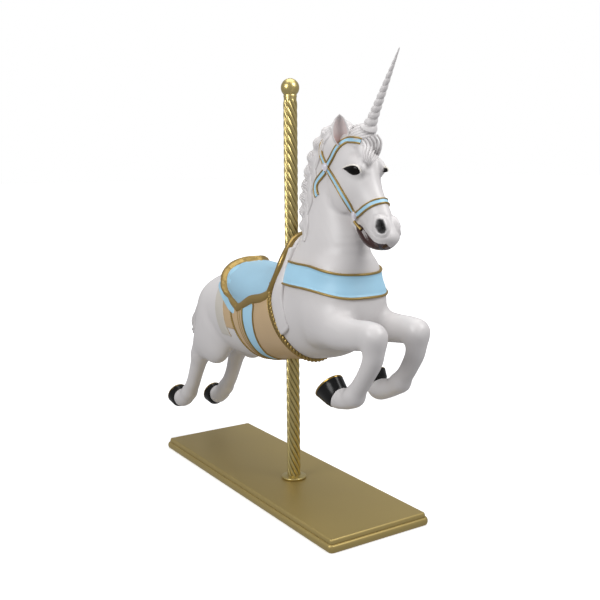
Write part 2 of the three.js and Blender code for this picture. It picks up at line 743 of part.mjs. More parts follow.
function simplified({ positions, faces }, target) {
  const vertexCount = positions.length / 3;
  const faceCount = faces.length / 3;
  const quadrics = new Float64Array(vertexCount * 10);
  const around = Array.from({ length: vertexCount }, () => []);
  const summed = new Float64Array(10);
  const mark = new Int32Array(vertexCount);
  let markNumber = 0;

  function triangleNormal(ax, ay, az, bx, by, bz, cx, cy, cz, out) {
    const ux = bx - ax;
    const uy = by - ay;
    const uz = bz - az;
    const vx = cx - ax;
    const vy = cy - ay;
    const vz = cz - az;
    out[0] = uy * vz - uz * vy;
    out[1] = uz * vx - ux * vz;
    out[2] = ux * vy - uy * vx;
    return Math.sqrt(out[0] * out[0] + out[1] * out[1] + out[2] * out[2]);
  }

  const normal = [0, 0, 0];
  for (let f = 0; f < faceCount; f += 1) {
    const [a, b, c] = [faces[f * 3] * 3, faces[f * 3 + 1] * 3, faces[f * 3 + 2] * 3];
    const area = triangleNormal(positions[a], positions[a + 1], positions[a + 2], positions[b], positions[b + 1],
      positions[b + 2], positions[c], positions[c + 1], positions[c + 2], normal);
    const unit = normal.map((value) => value / (area || 1));
    const plane = [...unit, -(unit[0] * positions[a] + unit[1] * positions[a + 1] + unit[2] * positions[a + 2])];
    const weight = area * carvingWeight(positions[a], positions[a + 1], positions[a + 2]);
    for (const vertex of [a / 3, b / 3, c / 3]) {
      around[vertex].push(f);
      let slot = vertex * 10;
      for (let i = 0; i < 4; i += 1) {
        for (let j = i; j < 4; j += 1) {
          quadrics[slot] += weight * plane[i] * plane[j];
          slot += 1;
        }
      }
    }
  }

  // Best point for a merged pair: the minimum of the summed quadric, else the better of three points
  const best = [0, 0, 0];
  function bestPoint(u, v) {
    for (let i = 0; i < 10; i += 1) {
      summed[i] = quadrics[u * 10 + i] + quadrics[v * 10 + i];
    }
    const [ux, uy, uz] = [positions[u * 3], positions[u * 3 + 1], positions[u * 3 + 2]];
    const [vx, vy, vz] = [positions[v * 3], positions[v * 3 + 1], positions[v * 3 + 2]];
    const lengthSquared = (ux - vx) ** 2 + (uy - vy) ** 2 + (uz - vz) ** 2;
    const middle = [(ux + vx) / 2, (uy + vy) / 2, (uz + vz) / 2];
    const free = quadricMinimum(summed);
    let cost = Infinity;
    const choices = [middle, [ux, uy, uz], [vx, vy, vz]];
    if (free !== null
      && (free[0] - middle[0]) ** 2 + (free[1] - middle[1]) ** 2 + (free[2] - middle[2]) ** 2 < lengthSquared) {
      choices.length = 0;
      choices.push(free);
    }
    for (const point of choices) {
      const error = quadricError(summed, ...point);
      if (error < cost) {
        cost = error;
        [best[0], best[1], best[2]] = point;
      }
    }
    return Math.max(cost, 0) + edgeCost * lengthSquared;
  }

  const faceAlive = new Uint8Array(faceCount).fill(1);
  const stamp = new Int32Array(vertexCount);
  const heap = makeHeap();

  function pushEdge(u, v) {
    const cost = bestPoint(u, v);
    heap.push({ cost, u, v, stamps: stamp[u] + stamp[v] });
  }

  for (let f = 0; f < faceCount; f += 1) {
    for (let i = 0; i < 3; i += 1) {
      const u = faces[f * 3 + i];
      const v = faces[f * 3 + ((i + 1) % 3)];
      if (u < v) {
        pushEdge(u, v);
      }
    }
  }

  const before = [0, 0, 0];
  const after = [0, 0, 0];
  function wouldFlip(vertex, other) {
    for (const f of around[vertex]) {
      const corners = [faces[f * 3], faces[f * 3 + 1], faces[f * 3 + 2]];
      if (corners.includes(other)) {
        continue;
      }
      const old = corners.flatMap((c) => [positions[c * 3], positions[c * 3 + 1], positions[c * 3 + 2]]);
      const moved = [...old];
      const slot = corners.indexOf(vertex) * 3;
      [moved[slot], moved[slot + 1], moved[slot + 2]] = best;
      const areaBefore = triangleNormal(...old, before);
      const areaAfter = triangleNormal(...moved, after);
      const agree = before[0] * after[0] + before[1] * after[1] + before[2] * after[2];
      if (agree < 0.3 * areaBefore * areaAfter || areaAfter < 1e-3) {
        return true;
      }
    }
    return false;
  }

  // Corners that both ends of an edge touch: exactly two on a closed skin that stays one
  function sharedCorners(u, v) {
    markNumber += 2;
    for (const f of around[u]) {
      mark[faces[f * 3]] = markNumber;
      mark[faces[f * 3 + 1]] = markNumber;
      mark[faces[f * 3 + 2]] = markNumber;
    }
    let shared = 0;
    for (const f of around[v]) {
      for (let i = 0; i < 3; i += 1) {
        const corner = faces[f * 3 + i];
        if (corner !== u && corner !== v && mark[corner] === markNumber) {
          mark[corner] = markNumber + 1;
          shared += 1;
        }
      }
    }
    return shared;
  }

  let alive = faceCount;
  while (alive > target && heap.size() > 0) {
    const { u, v, stamps } = heap.pop();
    if (around[u].length === 0 || around[v].length === 0 || stamps !== stamp[u] + stamp[v]) {
      continue;
    }
    bestPoint(u, v);
    if (sharedCorners(u, v) !== 2 || wouldFlip(u, v) || wouldFlip(v, u)) {
      continue;
    }
    for (let i = 0; i < 10; i += 1) {
      quadrics[u * 10 + i] += quadrics[v * 10 + i];
    }
    for (let i = 0; i < 3; i += 1) {
      positions[u * 3 + i] = best[i];
    }
    for (const f of around[v]) {
      const corners = [faces[f * 3], faces[f * 3 + 1], faces[f * 3 + 2]];
      if (corners.includes(u)) {
        faceAlive[f] = 0;
        alive -= 1;
        for (const c of corners) {
          if (c !== v) {
            around[c].splice(around[c].indexOf(f), 1);
          }
        }
      } else {
        faces[f * 3 + corners.indexOf(v)] = u;
        around[u].push(f);
      }
    }
    around[v] = [];
    stamp[u] += 1;
    const touched = new Set(around[u].flatMap((f) => [faces[f * 3], faces[f * 3 + 1], faces[f * 3 + 2]]));
    touched.delete(u);
    for (const other of touched) {
      pushEdge(u, other);
    }
  }

  const renumber = new Map();
  const keptPositions = [];
  const keptFaces = [];
  for (let f = 0; f < faceCount; f += 1) {
    if (faceAlive[f] === 0) {
      continue;
    }
    for (let i = 0; i < 3; i += 1) {
      const vertex = faces[f * 3 + i];
      if (!renumber.has(vertex)) {
        renumber.set(vertex, keptPositions.length / 3);
        keptPositions.push(positions[vertex * 3], positions[vertex * 3 + 1], positions[vertex * 3 + 2]);
      }
      keptFaces.push(renumber.get(vertex));
    }
  }
  return { positions: keptPositions, faces: keptFaces };
}

// Binary heap, smallest cost first
function makeHeap() {
  const items = [];
  return {
    size: () => items.length,
    push(item) {
      let at = items.length;
      items.push(item);
      while (at > 0) {
        const parent = (at - 1) >> 1;
        if (items[parent].cost <= item.cost) {
          break;
        }
        items[at] = items[parent];
        at = parent;
      }
      items[at] = item;
    },
    pop() {
      const top = items[0];
      const last = items.pop();
      if (items.length > 0) {
        let at = 0;
        for (;;) {
          let child = 2 * at + 1;
          if (child >= items.length) {
            break;
          }
          if (child + 1 < items.length && items[child + 1].cost < items[child].cost) {
            child += 1;
          }
          if (items[child].cost >= last.cost) {
            break;
          }
          items[at] = items[child];
          at = child;
        }
        items[at] = last;
      }
      return top;
    },
  };
}

// Horn and hooves: crisp forms that are joined to the figure

const hornRoot = [476, 0, 1376];
const hornTip = [627, 0, 1611];
const hornRootRadius = 17;
const hornRidges = 12;
const hornRidgeDepth = 0.1;

function axisFrame(from, to) {
  const axis = new THREE.Vector3(...to).sub(new THREE.Vector3(...from));
  const length = axis.length();
  axis.normalize();
  const first = new THREE.Vector3(0, 1, 0);
  const second = new THREE.Vector3().crossVectors(axis, first);
  return { axis, length, first, second };
}

function makeHorn() {
  const { axis, length, first, second } = axisFrame(hornRoot, hornTip);
  const sides = 6;
  const steps = hornRidges * 3;
  const rings = [];
  for (let i = 0; i <= steps; i += 1) {
    const along = i / steps;
    const radius = hornRootRadius * (1 - along) ** 0.9 + 1.5;
    const ring = [];
    for (let k = 0; k < sides; k += 1) {
      const angle = (2 * Math.PI * k) / sides;
      const ridge = 1 + hornRidgeDepth * Math.cos(angle - 2 * Math.PI * hornRidges * along);
      const point = new THREE.Vector3(...hornRoot)
        .addScaledVector(axis, along * length)
        .addScaledVector(first, radius * ridge * Math.cos(angle))
        .addScaledVector(second, radius * ridge * Math.sin(angle));
      ring.push(point.toArray());
    }
    rings.push(ring);
  }
  return outwardSolid(rings);
}

const hoofSoleRadius = 55;
const hoofCoronetRadius = 45;

function makeHoof({ coronet, sole }) {
  const { axis, length, first, second } = axisFrame(coronet, sole);
  const sides = 14;
  const profile = [[0.45, -0.35], [0.86, -0.12], [0.97, 0.05], [1, 0.9], [0.96, 1]];
  const rings = profile.map(([width, along]) => {
    const radius = width * (hoofCoronetRadius + (hoofSoleRadius - hoofCoronetRadius) * Math.max(along, 0));
    const ring = [];
    for (let k = 0; k < sides; k += 1) {
      const angle = (2 * Math.PI * k) / sides;
      const point = new THREE.Vector3(...coronet)
        .addScaledVector(axis, along * length)
        .addScaledVector(first, radius * 0.94 * Math.cos(angle))
        .addScaledVector(second, radius * Math.sin(angle));
      ring.push(point.toArray());
    }
    return ring;
  });
  return outwardSolid(rings);
}

function outwardSolid(rings) {
  const solid = toSolid(skinRings(rings));
  return solid.volume() > 0 ? solid : toSolid(skinRings(rings.map((ring) => [...ring].reverse())));
}

// Stations to millimetres in the part's frame
function placeFigure(positions) {
  const placed = new Float32Array(positions.length);
  for (let i = 0; i < positions.length; i += 3) {
    placed[i] = positions[i] * share;
    placed[i + 1] = positions[i + 1] * share;
    placed[i + 2] = plinthThickness + hoofClearance + (positions[i + 2] - lowestHoofStation) * share;
  }
  return placed;
}

function makeFigure() {
  const samples = sampleFigure();
  clearPinches(samples);
  const carved = simplified(surfaceMesh(samples), figureTriangles);
  let solid = toSolid(indexedGeometry(carved.positions, carved.faces));
  solid = solid.add(makeHorn());
  for (const leg of [nearFore, farFore, nearHind, farHind]) {
    solid = solid.add(makeHoof(leg.hoof));
  }
  const mesh = solid.getMesh();
  const placed = toSolid(indexedGeometry(placeFigure(mesh.vertProperties), mesh.triVerts));
  const boreRadius = poleRadius + boreClearance;
  const bore = turned([[0, plinthThickness + 10], [boreRadius, plinthThickness + 10],
    [boreRadius, poleTop], [0, poleTop]], 20);
  return toGeometry(placed.subtract(toSolid(bore)));
}

const carousel = new THREE.Group();

function addPiece(name, geometry, finish) {
  const mesh = new THREE.Mesh(geometry, new THREE.MeshStandardMaterial(finish));
  mesh.name = name;
  carousel.add(mesh);
}

addPiece('plinth', makePlinth(), paint.plinth);
addPiece('collar', makeCollar(), paint.collar);
addPiece('pole', makePole(), paint.pole);
addPiece('ball', makeBall(), paint.ball);
addPiece('unicorn', makeFigure(), paint.unicorn);

export default carousel;
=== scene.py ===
# A carousel unicorn on its stand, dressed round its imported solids.
# Metres, +Z up, +X towards the nose and +Y to the unicorn's left, as in the solids.
import math

import bpy
import numpy as np
from mathutils import Matrix, Vector


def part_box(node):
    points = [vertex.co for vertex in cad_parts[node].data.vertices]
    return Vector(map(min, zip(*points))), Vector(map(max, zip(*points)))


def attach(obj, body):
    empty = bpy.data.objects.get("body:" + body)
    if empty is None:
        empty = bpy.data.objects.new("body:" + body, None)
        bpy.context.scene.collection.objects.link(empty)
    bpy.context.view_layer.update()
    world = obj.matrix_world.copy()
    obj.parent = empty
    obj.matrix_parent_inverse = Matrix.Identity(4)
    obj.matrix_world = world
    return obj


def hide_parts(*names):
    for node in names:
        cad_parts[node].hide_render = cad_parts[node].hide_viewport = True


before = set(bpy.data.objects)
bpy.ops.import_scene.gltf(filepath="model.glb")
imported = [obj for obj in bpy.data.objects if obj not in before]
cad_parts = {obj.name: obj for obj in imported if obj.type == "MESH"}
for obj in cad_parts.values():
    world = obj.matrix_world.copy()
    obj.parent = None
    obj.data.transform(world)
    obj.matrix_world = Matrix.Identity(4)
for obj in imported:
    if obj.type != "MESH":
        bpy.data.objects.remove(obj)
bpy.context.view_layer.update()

# The studio: a pale floor, a white surround and three soft lights, with the camera where the
# photograph was taken from. The lens is given by its focal length in pixels of a 600 pixel picture.
picture_width = 600
focal_pixels = 847.0
sensor_width = 36.0
camera_azimuth = math.radians(57.3)
camera_elevation = math.radians(9.1)
camera_roll = math.radians(-0.5)
camera_distance = 3.180
camera_target = Vector((0.055, 0.0, 0.7595))


def camera_frame():
    """Right, up and back of the camera, and where it stands."""
    level = math.cos(camera_elevation)
    back = Vector((math.sin(camera_azimuth) * level, -math.cos(camera_azimuth) * level,
                   math.sin(camera_elevation)))
    right = Vector((math.cos(camera_azimuth), math.sin(camera_azimuth), 0.0))
    up = back.cross(right)
    turned_right = right * math.cos(camera_roll) + up * math.sin(camera_roll)
    turned_up = up * math.cos(camera_roll) - right * math.sin(camera_roll)
    return turned_right, turned_up, back, camera_target + back * camera_distance


camera_right, camera_up, camera_back, camera_place = camera_frame()
lens = bpy.data.cameras.new("photograph_view")
lens.sensor_width = sensor_width
lens.lens = focal_pixels / picture_width * sensor_width
lens.clip_end = 100.0
camera = bpy.data.objects.new("photograph_view", lens)
turn = Matrix((camera_right, camera_up, camera_back)).transposed()
camera.matrix_world = Matrix.Translation(camera_place) @ turn.to_4x4()
bpy.context.scene.collection.objects.link(camera)
bpy.context.scene.camera = camera
bpy.context.scene.view_settings.view_transform = "Standard"
bpy.context.scene.view_settings.look = "None"


def add_softbox(name, place, aim, width, watts):
    lamp = bpy.data.lights.new(name, "AREA")
    lamp.shape = "SQUARE"
    lamp.size = width
    lamp.energy = watts
    softbox = bpy.data.objects.new(name, lamp)
    softbox.location = place
    softbox.rotation_euler = (Vector(aim) - Vector(place)).to_track_quat("-Z", "Y").to_euler()
    bpy.context.scene.collection.objects.link(softbox)


studio_centre = Vector((0.0, 0.0, 0.85))
level_back = Vector((camera_back.x, camera_back.y, 0.0)).normalized()
add_softbox("key_softbox", studio_centre + camera_right * 1.9 + level_back * 1.3 + Vector((0, 0, 2.3)),
            studio_centre, 1.5, 50.0)
add_softbox("fill_softbox", studio_centre - camera_right * 2.3 + level_back * 1.9 + Vector((0, 0, 1.5)),
            studio_centre, 1.5, 48.0)
add_softbox("overhead_softbox", studio_centre + Vector((-0.2, 0.2, 2.6)), studio_centre, 2.2, 34.0)


class Link:
    """A node's output. Sums of links and numbers become Math nodes."""

    def __init__(self, tree, socket):
        self.tree = tree
        self.socket = socket

    def output(self, name):
        return Link(self.tree, self.socket.node.outputs[name])

    def __add__(self, other):
        return self.tree.math("ADD", self, other)

    def __radd__(self, other):
        return self.tree.math("ADD", other, self)

    def __sub__(self, other):
        return self.tree.math("SUBTRACT", self, other)

    def __rsub__(self, other):
        return self.tree.math("SUBTRACT", other, self)

    def __mul__(self, other):
        return self.tree.math("MULTIPLY", self, other)

    def __rmul__(self, other):
        return self.tree.math("MULTIPLY", other, self)

    def __truediv__(self, other):
        return self.tree.math("DIVIDE", self, other)

    def __abs__(self):
        return self.tree.math("ABSOLUTE", self)


class Tree:
    """A node tree under construction, of a material, of the world or of Geometry Nodes."""

    def __init__(self, tree):
        self.tree = tree

    def node(self, kind, settings=None, sockets=None, output=0):
        made = self.tree.nodes.new(kind)
        for name, value in (settings or {}).items():
            if name == "stops":
                self.set_stops(made.color_ramp, value)
            else:
                setattr(made, name, value)
        for name, value in (sockets or {}).items():
            if isinstance(value, Link):
                self.tree.links.new(value.socket, made.inputs[name])
            else:
                made.inputs[name].default_value = value
        return Link(self, made.outputs[output]) if len(made.outputs) else made

    def set_stops(self, ramp, stops):
        while len(ramp.elements) < len(stops):
            ramp.elements.new(0.5)
        for element, (position, colour) in zip(ramp.elements, stops):
            element.position = position
            element.color = colour

    def math(self, operation, first, second=None):
        sockets = {0: first} if second is None else {0: first, 1: second}
        return self.node("ShaderNodeMath", {"operation": operation}, sockets)

    def ease(self, value, low, high):
        """0 below low and 1 above high, with a smooth rise between."""
        return self.node("ShaderNodeMapRange", {"interpolation_type": "SMOOTHSTEP"},
                         {"Value": value, "From Min": low, "From Max": high})

    def mix_colour(self, share, first, second):
        return self.node("ShaderNodeMix", {"data_type": "RGBA"}, {0: share, 6: first, 7: second}, output=2)


surround = bpy.data.worlds.new("white_surround")
surround.use_nodes = True
surround.node_tree.nodes.clear()
sky = Tree(surround.node_tree)
seen_directly = sky.node("ShaderNodeLightPath", output="Is Camera Ray")
glow = sky.mix_colour(seen_directly, (0.41, 0.41, 0.42, 1.0), (1.0, 1.0, 1.0, 1.0))
sky_light = sky.node("ShaderNodeBackground", sockets={"Color": glow, "Strength": 1.0})
sky.node("ShaderNodeOutputWorld", sockets={"Surface": sky_light})
bpy.context.scene.world = surround


class Finish(Tree):
    """The node tree of one material, with places to read a pattern from."""

    def __init__(self, name):
        self.material = bpy.data.materials.new(name)
        self.material.use_nodes = True
        self.material.node_tree.nodes.clear()
        super().__init__(self.material.node_tree)
        self.place = self.node("ShaderNodeTexCoord", output="Object")

    def noise(self, scale, detail=3.0, place=None):
        return self.node("ShaderNodeTexNoise", sockets={"Vector": place or self.place, "Scale": scale,
                                                        "Detail": detail})

    def attribute(self, name):
        return self.node("ShaderNodeAttribute", {"attribute_name": name}, output="Fac")

    def bump(self, height, strength, distance):
        return self.node("ShaderNodeBump", sockets={"Height": height, "Strength": strength,
                                                    "Distance": distance})

    def done(self, sockets):
        shader = self.node("ShaderNodeBsdfPrincipled", sockets=sockets)
        self.node("ShaderNodeOutputMaterial", sockets={"Surface": shader})
        return self.material


def shaded(colour, factor):
    """A colour made darker or lighter by a factor, as a node's colour."""
    return (*[channel * factor for channel in colour], 1.0)


def pale_floor():
    """Pale and matt, and paler still far from the object, so that it runs into the white surround."""
    finish = Finish("pale_floor")
    mottle = finish.noise(1.5)
    colour = finish.mix_colour(mottle, (0.84, 0.84, 0.84, 1.0), (0.88, 0.88, 0.88, 1.0))
    parts = finish.node("ShaderNodeSeparateXYZ", sockets={0: finish.place})
    away = finish.math("SQRT", parts * parts + parts.output("Y") * parts.output("Y"))
    far = finish.ease(away, 0.7, 3.5)
    glow = finish.mix_colour(far, (0.48, 0.48, 0.48, 1.0), (1.0, 1.0, 1.0, 1.0))
    return finish.done({"Base Color": colour, "Roughness": 0.75, "Emission Color": glow,
                        "Emission Strength": 1.0})


floor_half = 60.0
floor_mesh = bpy.data.meshes.new("floor")
floor_mesh.from_pydata([(-floor_half, -floor_half, 0), (floor_half, -floor_half, 0),
                        (floor_half, floor_half, 0), (-floor_half, floor_half, 0)], [], [(0, 1, 2, 3)])
floor = bpy.data.objects.new("floor", floor_mesh)
floor_mesh.materials.append(pale_floor())
bpy.context.scene.collection.objects.link(floor)
floor.visible_diffuse = False
floor.visible_glossy = False

# The plinth: a board with a half-round roll and a small rounded step routed round its edge,
# sprayed satin bronze-gold. The pole's foot is screwed down on it.
plinth_low, plinth_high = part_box("plinth")
plinth_roll_height = 0.028
plinth_roll_inset = 0.008
plinth_groove = 0.003
plinth_top_inset = 0.017
plinth_corner_radius = 0.020
corner_steps = 10


def add_piece(name, points, faces, material, sharp_angle=None, attributes=None):
    """A mesh that stands for a piece of the real object and rides with it."""
    mesh = bpy.data.meshes.new(name)
    mesh.from_pydata(np.asarray(points).tolist(), [], [list(face) for face in faces])
    mesh.materials.append(material)
    mesh.shade_smooth()
    if sharp_angle is not None:
        mesh.set_sharp_from_angle(angle=sharp_angle)
    for label, values in (attributes or {}).items():
        layer = mesh.attributes.new(label, "FLOAT", "POINT")
        layer.data.foreach_set("value", np.asarray(values, dtype=np.float32))
    piece = bpy.data.objects.new(name, mesh)
    bpy.context.scene.collection.objects.link(piece)
    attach(piece, "root")
    return piece


def ring_faces(ring_count, around, closed=True):
    """Quads between rings of points that lie one after another."""
    rows, columns = np.meshgrid(np.arange(ring_count - 1), np.arange(around if closed else around - 1),
                                indexing="ij")
    first = rows * around + columns
    second = rows * around + (columns + 1) % around
    return np.stack([first, second, second + around, first + around], -1).reshape(-1, 4)


def capped_rings(rings):
    """Points and faces of a closed skin over rings, from the first up to the last."""
    around = len(rings[0])
    faces = ring_faces(len(rings), around).tolist()
    faces.append(list(range(around))[::-1])
    faces.append(list(range((len(rings) - 1) * around, len(rings) * around)))
    return np.concatenate(rings), faces


def plinth_profile():
    """Inset and height of the routed edge, from the underside up."""
    roll_radius = plinth_roll_height / 2
    profile = []
    for angle in np.linspace(-math.pi / 2, math.pi / 2, 15):
        inset = plinth_roll_inset * (1 - math.cos(angle))
        profile.append((inset, roll_radius * (1 + math.sin(angle))))
    profile.append((plinth_roll_inset + plinth_groove, plinth_roll_height + plinth_groove * 0.3))
    step_base = plinth_roll_height + plinth_groove * 0.6
    step_height = plinth_high.z - step_base
    step_inset = plinth_roll_inset + plinth_groove * 0.5
    for angle in np.linspace(0, math.pi / 2, 9):
        inset = step_inset + (plinth_top_inset - step_inset) * (1 - math.cos(angle))
        profile.append((inset, step_base + step_height * math.sin(angle)))
    return profile


def rounded_outline(inset, height):
    radius = max(plinth_corner_radius - inset, 0.004)
    outline = []
    corners = [(plinth_high.x, plinth_high.y, 0), (plinth_low.x, plinth_high.y, 1),
               (plinth_low.x, plinth_low.y, 2), (plinth_high.x, plinth_low.y, 3)]
    middle_x = (plinth_low.x + plinth_high.x) / 2
    for corner_x, corner_y, quarter in corners:
        centre_x = corner_x - math.copysign(inset + radius, corner_x - middle_x)
        centre_y = corner_y - math.copysign(inset + radius, corner_y)
        for step in range(corner_steps + 1):
            angle = math.pi / 2 * (quarter + step / corner_steps)
            outline.append((centre_x + radius * math.cos(angle), centre_y + radius * math.sin(angle), height))
    return np.array(outline)


def bronze_gold():
    finish = Finish("plinth_bronze_gold")
    cloud = finish.noise(3.0, 4.0)
    speckle = finish.noise(420.0, 2.0)
    dark = finish.mix_colour(cloud, (0.430, 0.325, 0.112, 1.0), (0.500, 0.385, 0.142, 1.0))
    colour = finish.mix_colour(speckle * 0.25, dark, (0.52, 0.41, 0.19, 1.0))
    return finish.done({"Base Color": colour, "Metallic": 0.72, "Roughness": 0.40 + cloud * 0.08,
                        "Normal": finish.bump(speckle, 0.12, 0.0004)})


points, faces = capped_rings([rounded_outline(inset, height) for inset, height in plinth_profile()])
plinth = add_piece("plinth_board", points, faces, bronze_gold(), math.radians(35))
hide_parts("plinth")

# The collar: a small turned brass flange with a half-round rim that covers the pole's foot.
collar_low, collar_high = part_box("collar")
collar_radius = (collar_high.x - collar_low.x) / 2
collar_rim = 0.011
lathe_steps = 72


def turned(profile, steps=lathe_steps):
    """Rings of a profile of (radius, height) turned round the pole's axis."""
    angles = np.linspace(0, 2 * math.pi, steps, endpoint=False)
    ring = np.stack([np.cos(angles), np.sin(angles), np.zeros(steps)], -1)
    return [ring * radius + (0, 0, height) for radius, height in profile]


def pole_gold(name, tone, groove_radius=None):
    """Lacquered brass with painted shade: darker in the grooves of a twisted shaft whose grooves reach in to a
    radius.
    """
    finish = Finish(name)
    cloud = finish.noise(14.0, 3.0)
    speckle = finish.noise(900.0, 2.0)
    bright = finish.mix_colour(cloud, shaded(tone, 0.94), shaded(tone, 1.05))
    colour = bright
    if groove_radius:
        parts = finish.node("ShaderNodeSeparateXYZ", sockets={0: finish.place})
        away = finish.math("SQRT", parts * parts + parts.output("Y") * parts.output("Y"))
        # Painted shade: the brass is darkened to 0.28 of its tone down in the grooves between the strands.
        proud = finish.ease(away, groove_radius, groove_radius + 0.0042)
        colour = finish.mix_colour(proud, shaded(tone, 0.28), bright)
    return finish.done({"Base Color": colour, "Metallic": 0.92, "Roughness": 0.29 + cloud * 0.05,
                        "Normal": finish.bump(speckle, 0.003, 0.0002)})


brass_tone = (0.58, 0.470, 0.195)
collar_gold = pole_gold("collar_gold", brass_tone)
collar_profile = [(0.024, collar_low.z), (collar_radius - 0.003, collar_low.z)]
for angle in np.linspace(-math.pi / 3, math.pi / 2, 10):
    collar_profile.append((collar_radius - collar_rim / 2 + collar_rim / 2 * math.cos(angle),
                           collar_low.z + 0.0055 + 0.0045 * math.sin(angle)))
collar_profile += [(0.036, collar_low.z + 0.0105), (0.031, collar_high.z - 0.0015), (0.028, collar_high.z),
                   (0.024, collar_high.z)]
points, faces = capped_rings(turned(collar_profile))
collar = add_piece("collar_flange", points, faces, collar_gold, math.radians(50))
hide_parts("collar")

# The pole: eight round strands twisted left-handed, cast in one piece, which run out in a short plain
# neck under the ball. It stands in a socket in the plinth and carries the unicorn.
pole_low, pole_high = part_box("pole")
pole_radius = (pole_high.x - pole_low.x) / 2
pole_neck_radius = 0.0235
pole_neck_length = 0.012
pole_twist_lead = 0.270
pole_strands = 8
pole_strand_depth = 0.0066
pole_groove_radius = pole_radius - pole_strand_depth


def geometry_tree(name, inputs):
    """A Geometry Nodes tree with a geometry in, one out and named number inputs."""
    group = bpy.data.node_groups.new(name, "GeometryNodeTree")
    group.interface.new_socket("Geometry", in_out="INPUT", socket_type="NodeSocketGeometry")
    for label in inputs:
        group.interface.new_socket(label, in_out="INPUT", socket_type="NodeSocketFloat")
    group.interface.new_socket("Geometry", in_out="OUTPUT", socket_type="NodeSocketGeometry")
    tree = Tree(group)
    tree.entry = tree.node("NodeGroupInput")
    return tree


def close_tree(tree, shape, material):
    whole = tree.node("GeometryNodeRealizeInstances", sockets={"Geometry": shape})
    painted = tree.node("GeometryNodeSetMaterial", sockets={"Geometry": whole, "Material": material})
    tree.node("NodeGroupOutput", sockets={"Geometry": painted})


def grown(name, tree, values, mesh):
    """The plain mesh that a tree makes of a start mesh, as a piece."""
    holder = bpy.data.objects.new(name, mesh)
    bpy.context.scene.collection.objects.link(holder)
    growth = holder.modifiers.new(name, "NODES")
    growth.node_group = tree.tree
    for item in tree.tree.interface.items_tree:
        if item.item_type == "SOCKET" and item.in_out == "INPUT" and item.name in values:
            growth[item.identifier] = values[item.name]
    bpy.context.view_layer.update()
    depsgraph = bpy.context.evaluated_depsgraph_get()
    made = bpy.data.meshes.new_from_object(holder.evaluated_get(depsgraph), depsgraph=depsgraph)
    holder.modifiers.remove(growth)
    holder.data = made
    made.shade_smooth()
    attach(holder, "root")
    return holder


def twisted_pole_tree(material):
    """Shapes a straight tube of many sides into strands that wind round it and fade at the neck."""
    tree = geometry_tree("twisted_pole", ["Radius", "Neck Radius", "Neck Start", "Neck End", "Strands",
                                          "Depth", "Lead"])
    place = tree.node("GeometryNodeInputPosition")
    parts = tree.node("ShaderNodeSeparateXYZ", sockets={0: place})
    height = parts.output("Z")
    angle = tree.math("ARCTAN2", parts.output("Y"), parts)
    twist = angle + height * 2 * math.pi / tree.entry.output("Lead")
    ridge = abs(tree.math("COSINE", twist * tree.entry.output("Strands") * 0.5))
    fade = tree.node("ShaderNodeMapRange", {"interpolation_type": "SMOOTHSTEP"},
                     {"Value": height, "From Min": tree.entry.output("Neck Start"),
                      "From Max": tree.entry.output("Neck End")})
    strand_radius = tree.entry.output("Radius") - tree.entry.output("Depth") * (1 - ridge)
    radius = strand_radius * (1 - fade) + tree.entry.output("Neck Radius") * fade
    flat = tree.node("ShaderNodeCombineXYZ", sockets={0: parts, 1: parts.output("Y")})
    outward = tree.node("ShaderNodeVectorMath", {"operation": "NORMALIZE"}, {0: flat})
    spread = tree.node("ShaderNodeVectorMath", {"operation": "SCALE"}, {0: outward, "Scale": radius})
    lifted = tree.node("ShaderNodeCombineXYZ", sockets={2: height})
    wanted = tree.node("ShaderNodeVectorMath", {"operation": "ADD"}, {0: spread, 1: lifted})
    moved = tree.node("GeometryNodeSetPosition", sockets={"Geometry": tree.entry, "Position": wanted})
    close_tree(tree, moved, material)
    return tree


def plain_tube(radius, bottom, top, around, steps):
    points, faces = capped_rings(turned([(radius, height) for height in np.linspace(bottom, top, steps)],
                                        around))
    mesh = bpy.data.meshes.new("plain_tube")
    mesh.from_pydata(points.tolist(), [], faces)
    return mesh


pole = grown("twisted_pole", twisted_pole_tree(pole_gold("pole_gold", brass_tone, pole_groove_radius)),
             {"Radius": pole_radius, "Neck Radius": pole_neck_radius,
              "Neck Start": pole_high.z - pole_neck_length - 0.012, "Neck End": pole_high.z - pole_neck_length,
              "Strands": float(pole_strands), "Depth": pole_strand_depth, "Lead": pole_twist_lead},
             plain_tube(pole_radius, pole_low.z, pole_high.z, 112, 420))
pole.data.set_sharp_from_angle(angle=math.radians(60))
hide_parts("pole")

# The ball: a turned finial with a short shoulder where it is screwed on the pole's neck.
ball_low, ball_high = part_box("ball")
ball_radius = (ball_high.x - ball_low.x) / 2
ball_centre = ball_high.z - ball_radius
shoulder_radius = pole_neck_radius + 0.0012
ball_profile = [(0.008, pole_high.z - 0.006), (shoulder_radius, pole_high.z - 0.006),
                (shoulder_radius, pole_high.z + 0.0005)]
for angle in np.linspace(-0.80, math.pi / 2 - 0.02, 34):
    ball_profile.append((ball_radius * math.cos(angle), ball_centre + ball_radius * math.sin(angle)))
points, faces = capped_rings(turned(ball_profile))
ball = add_piece("ball_finial", points, faces, pole_gold("ball_gold", brass_tone),
                 math.radians(50))
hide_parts("ball")

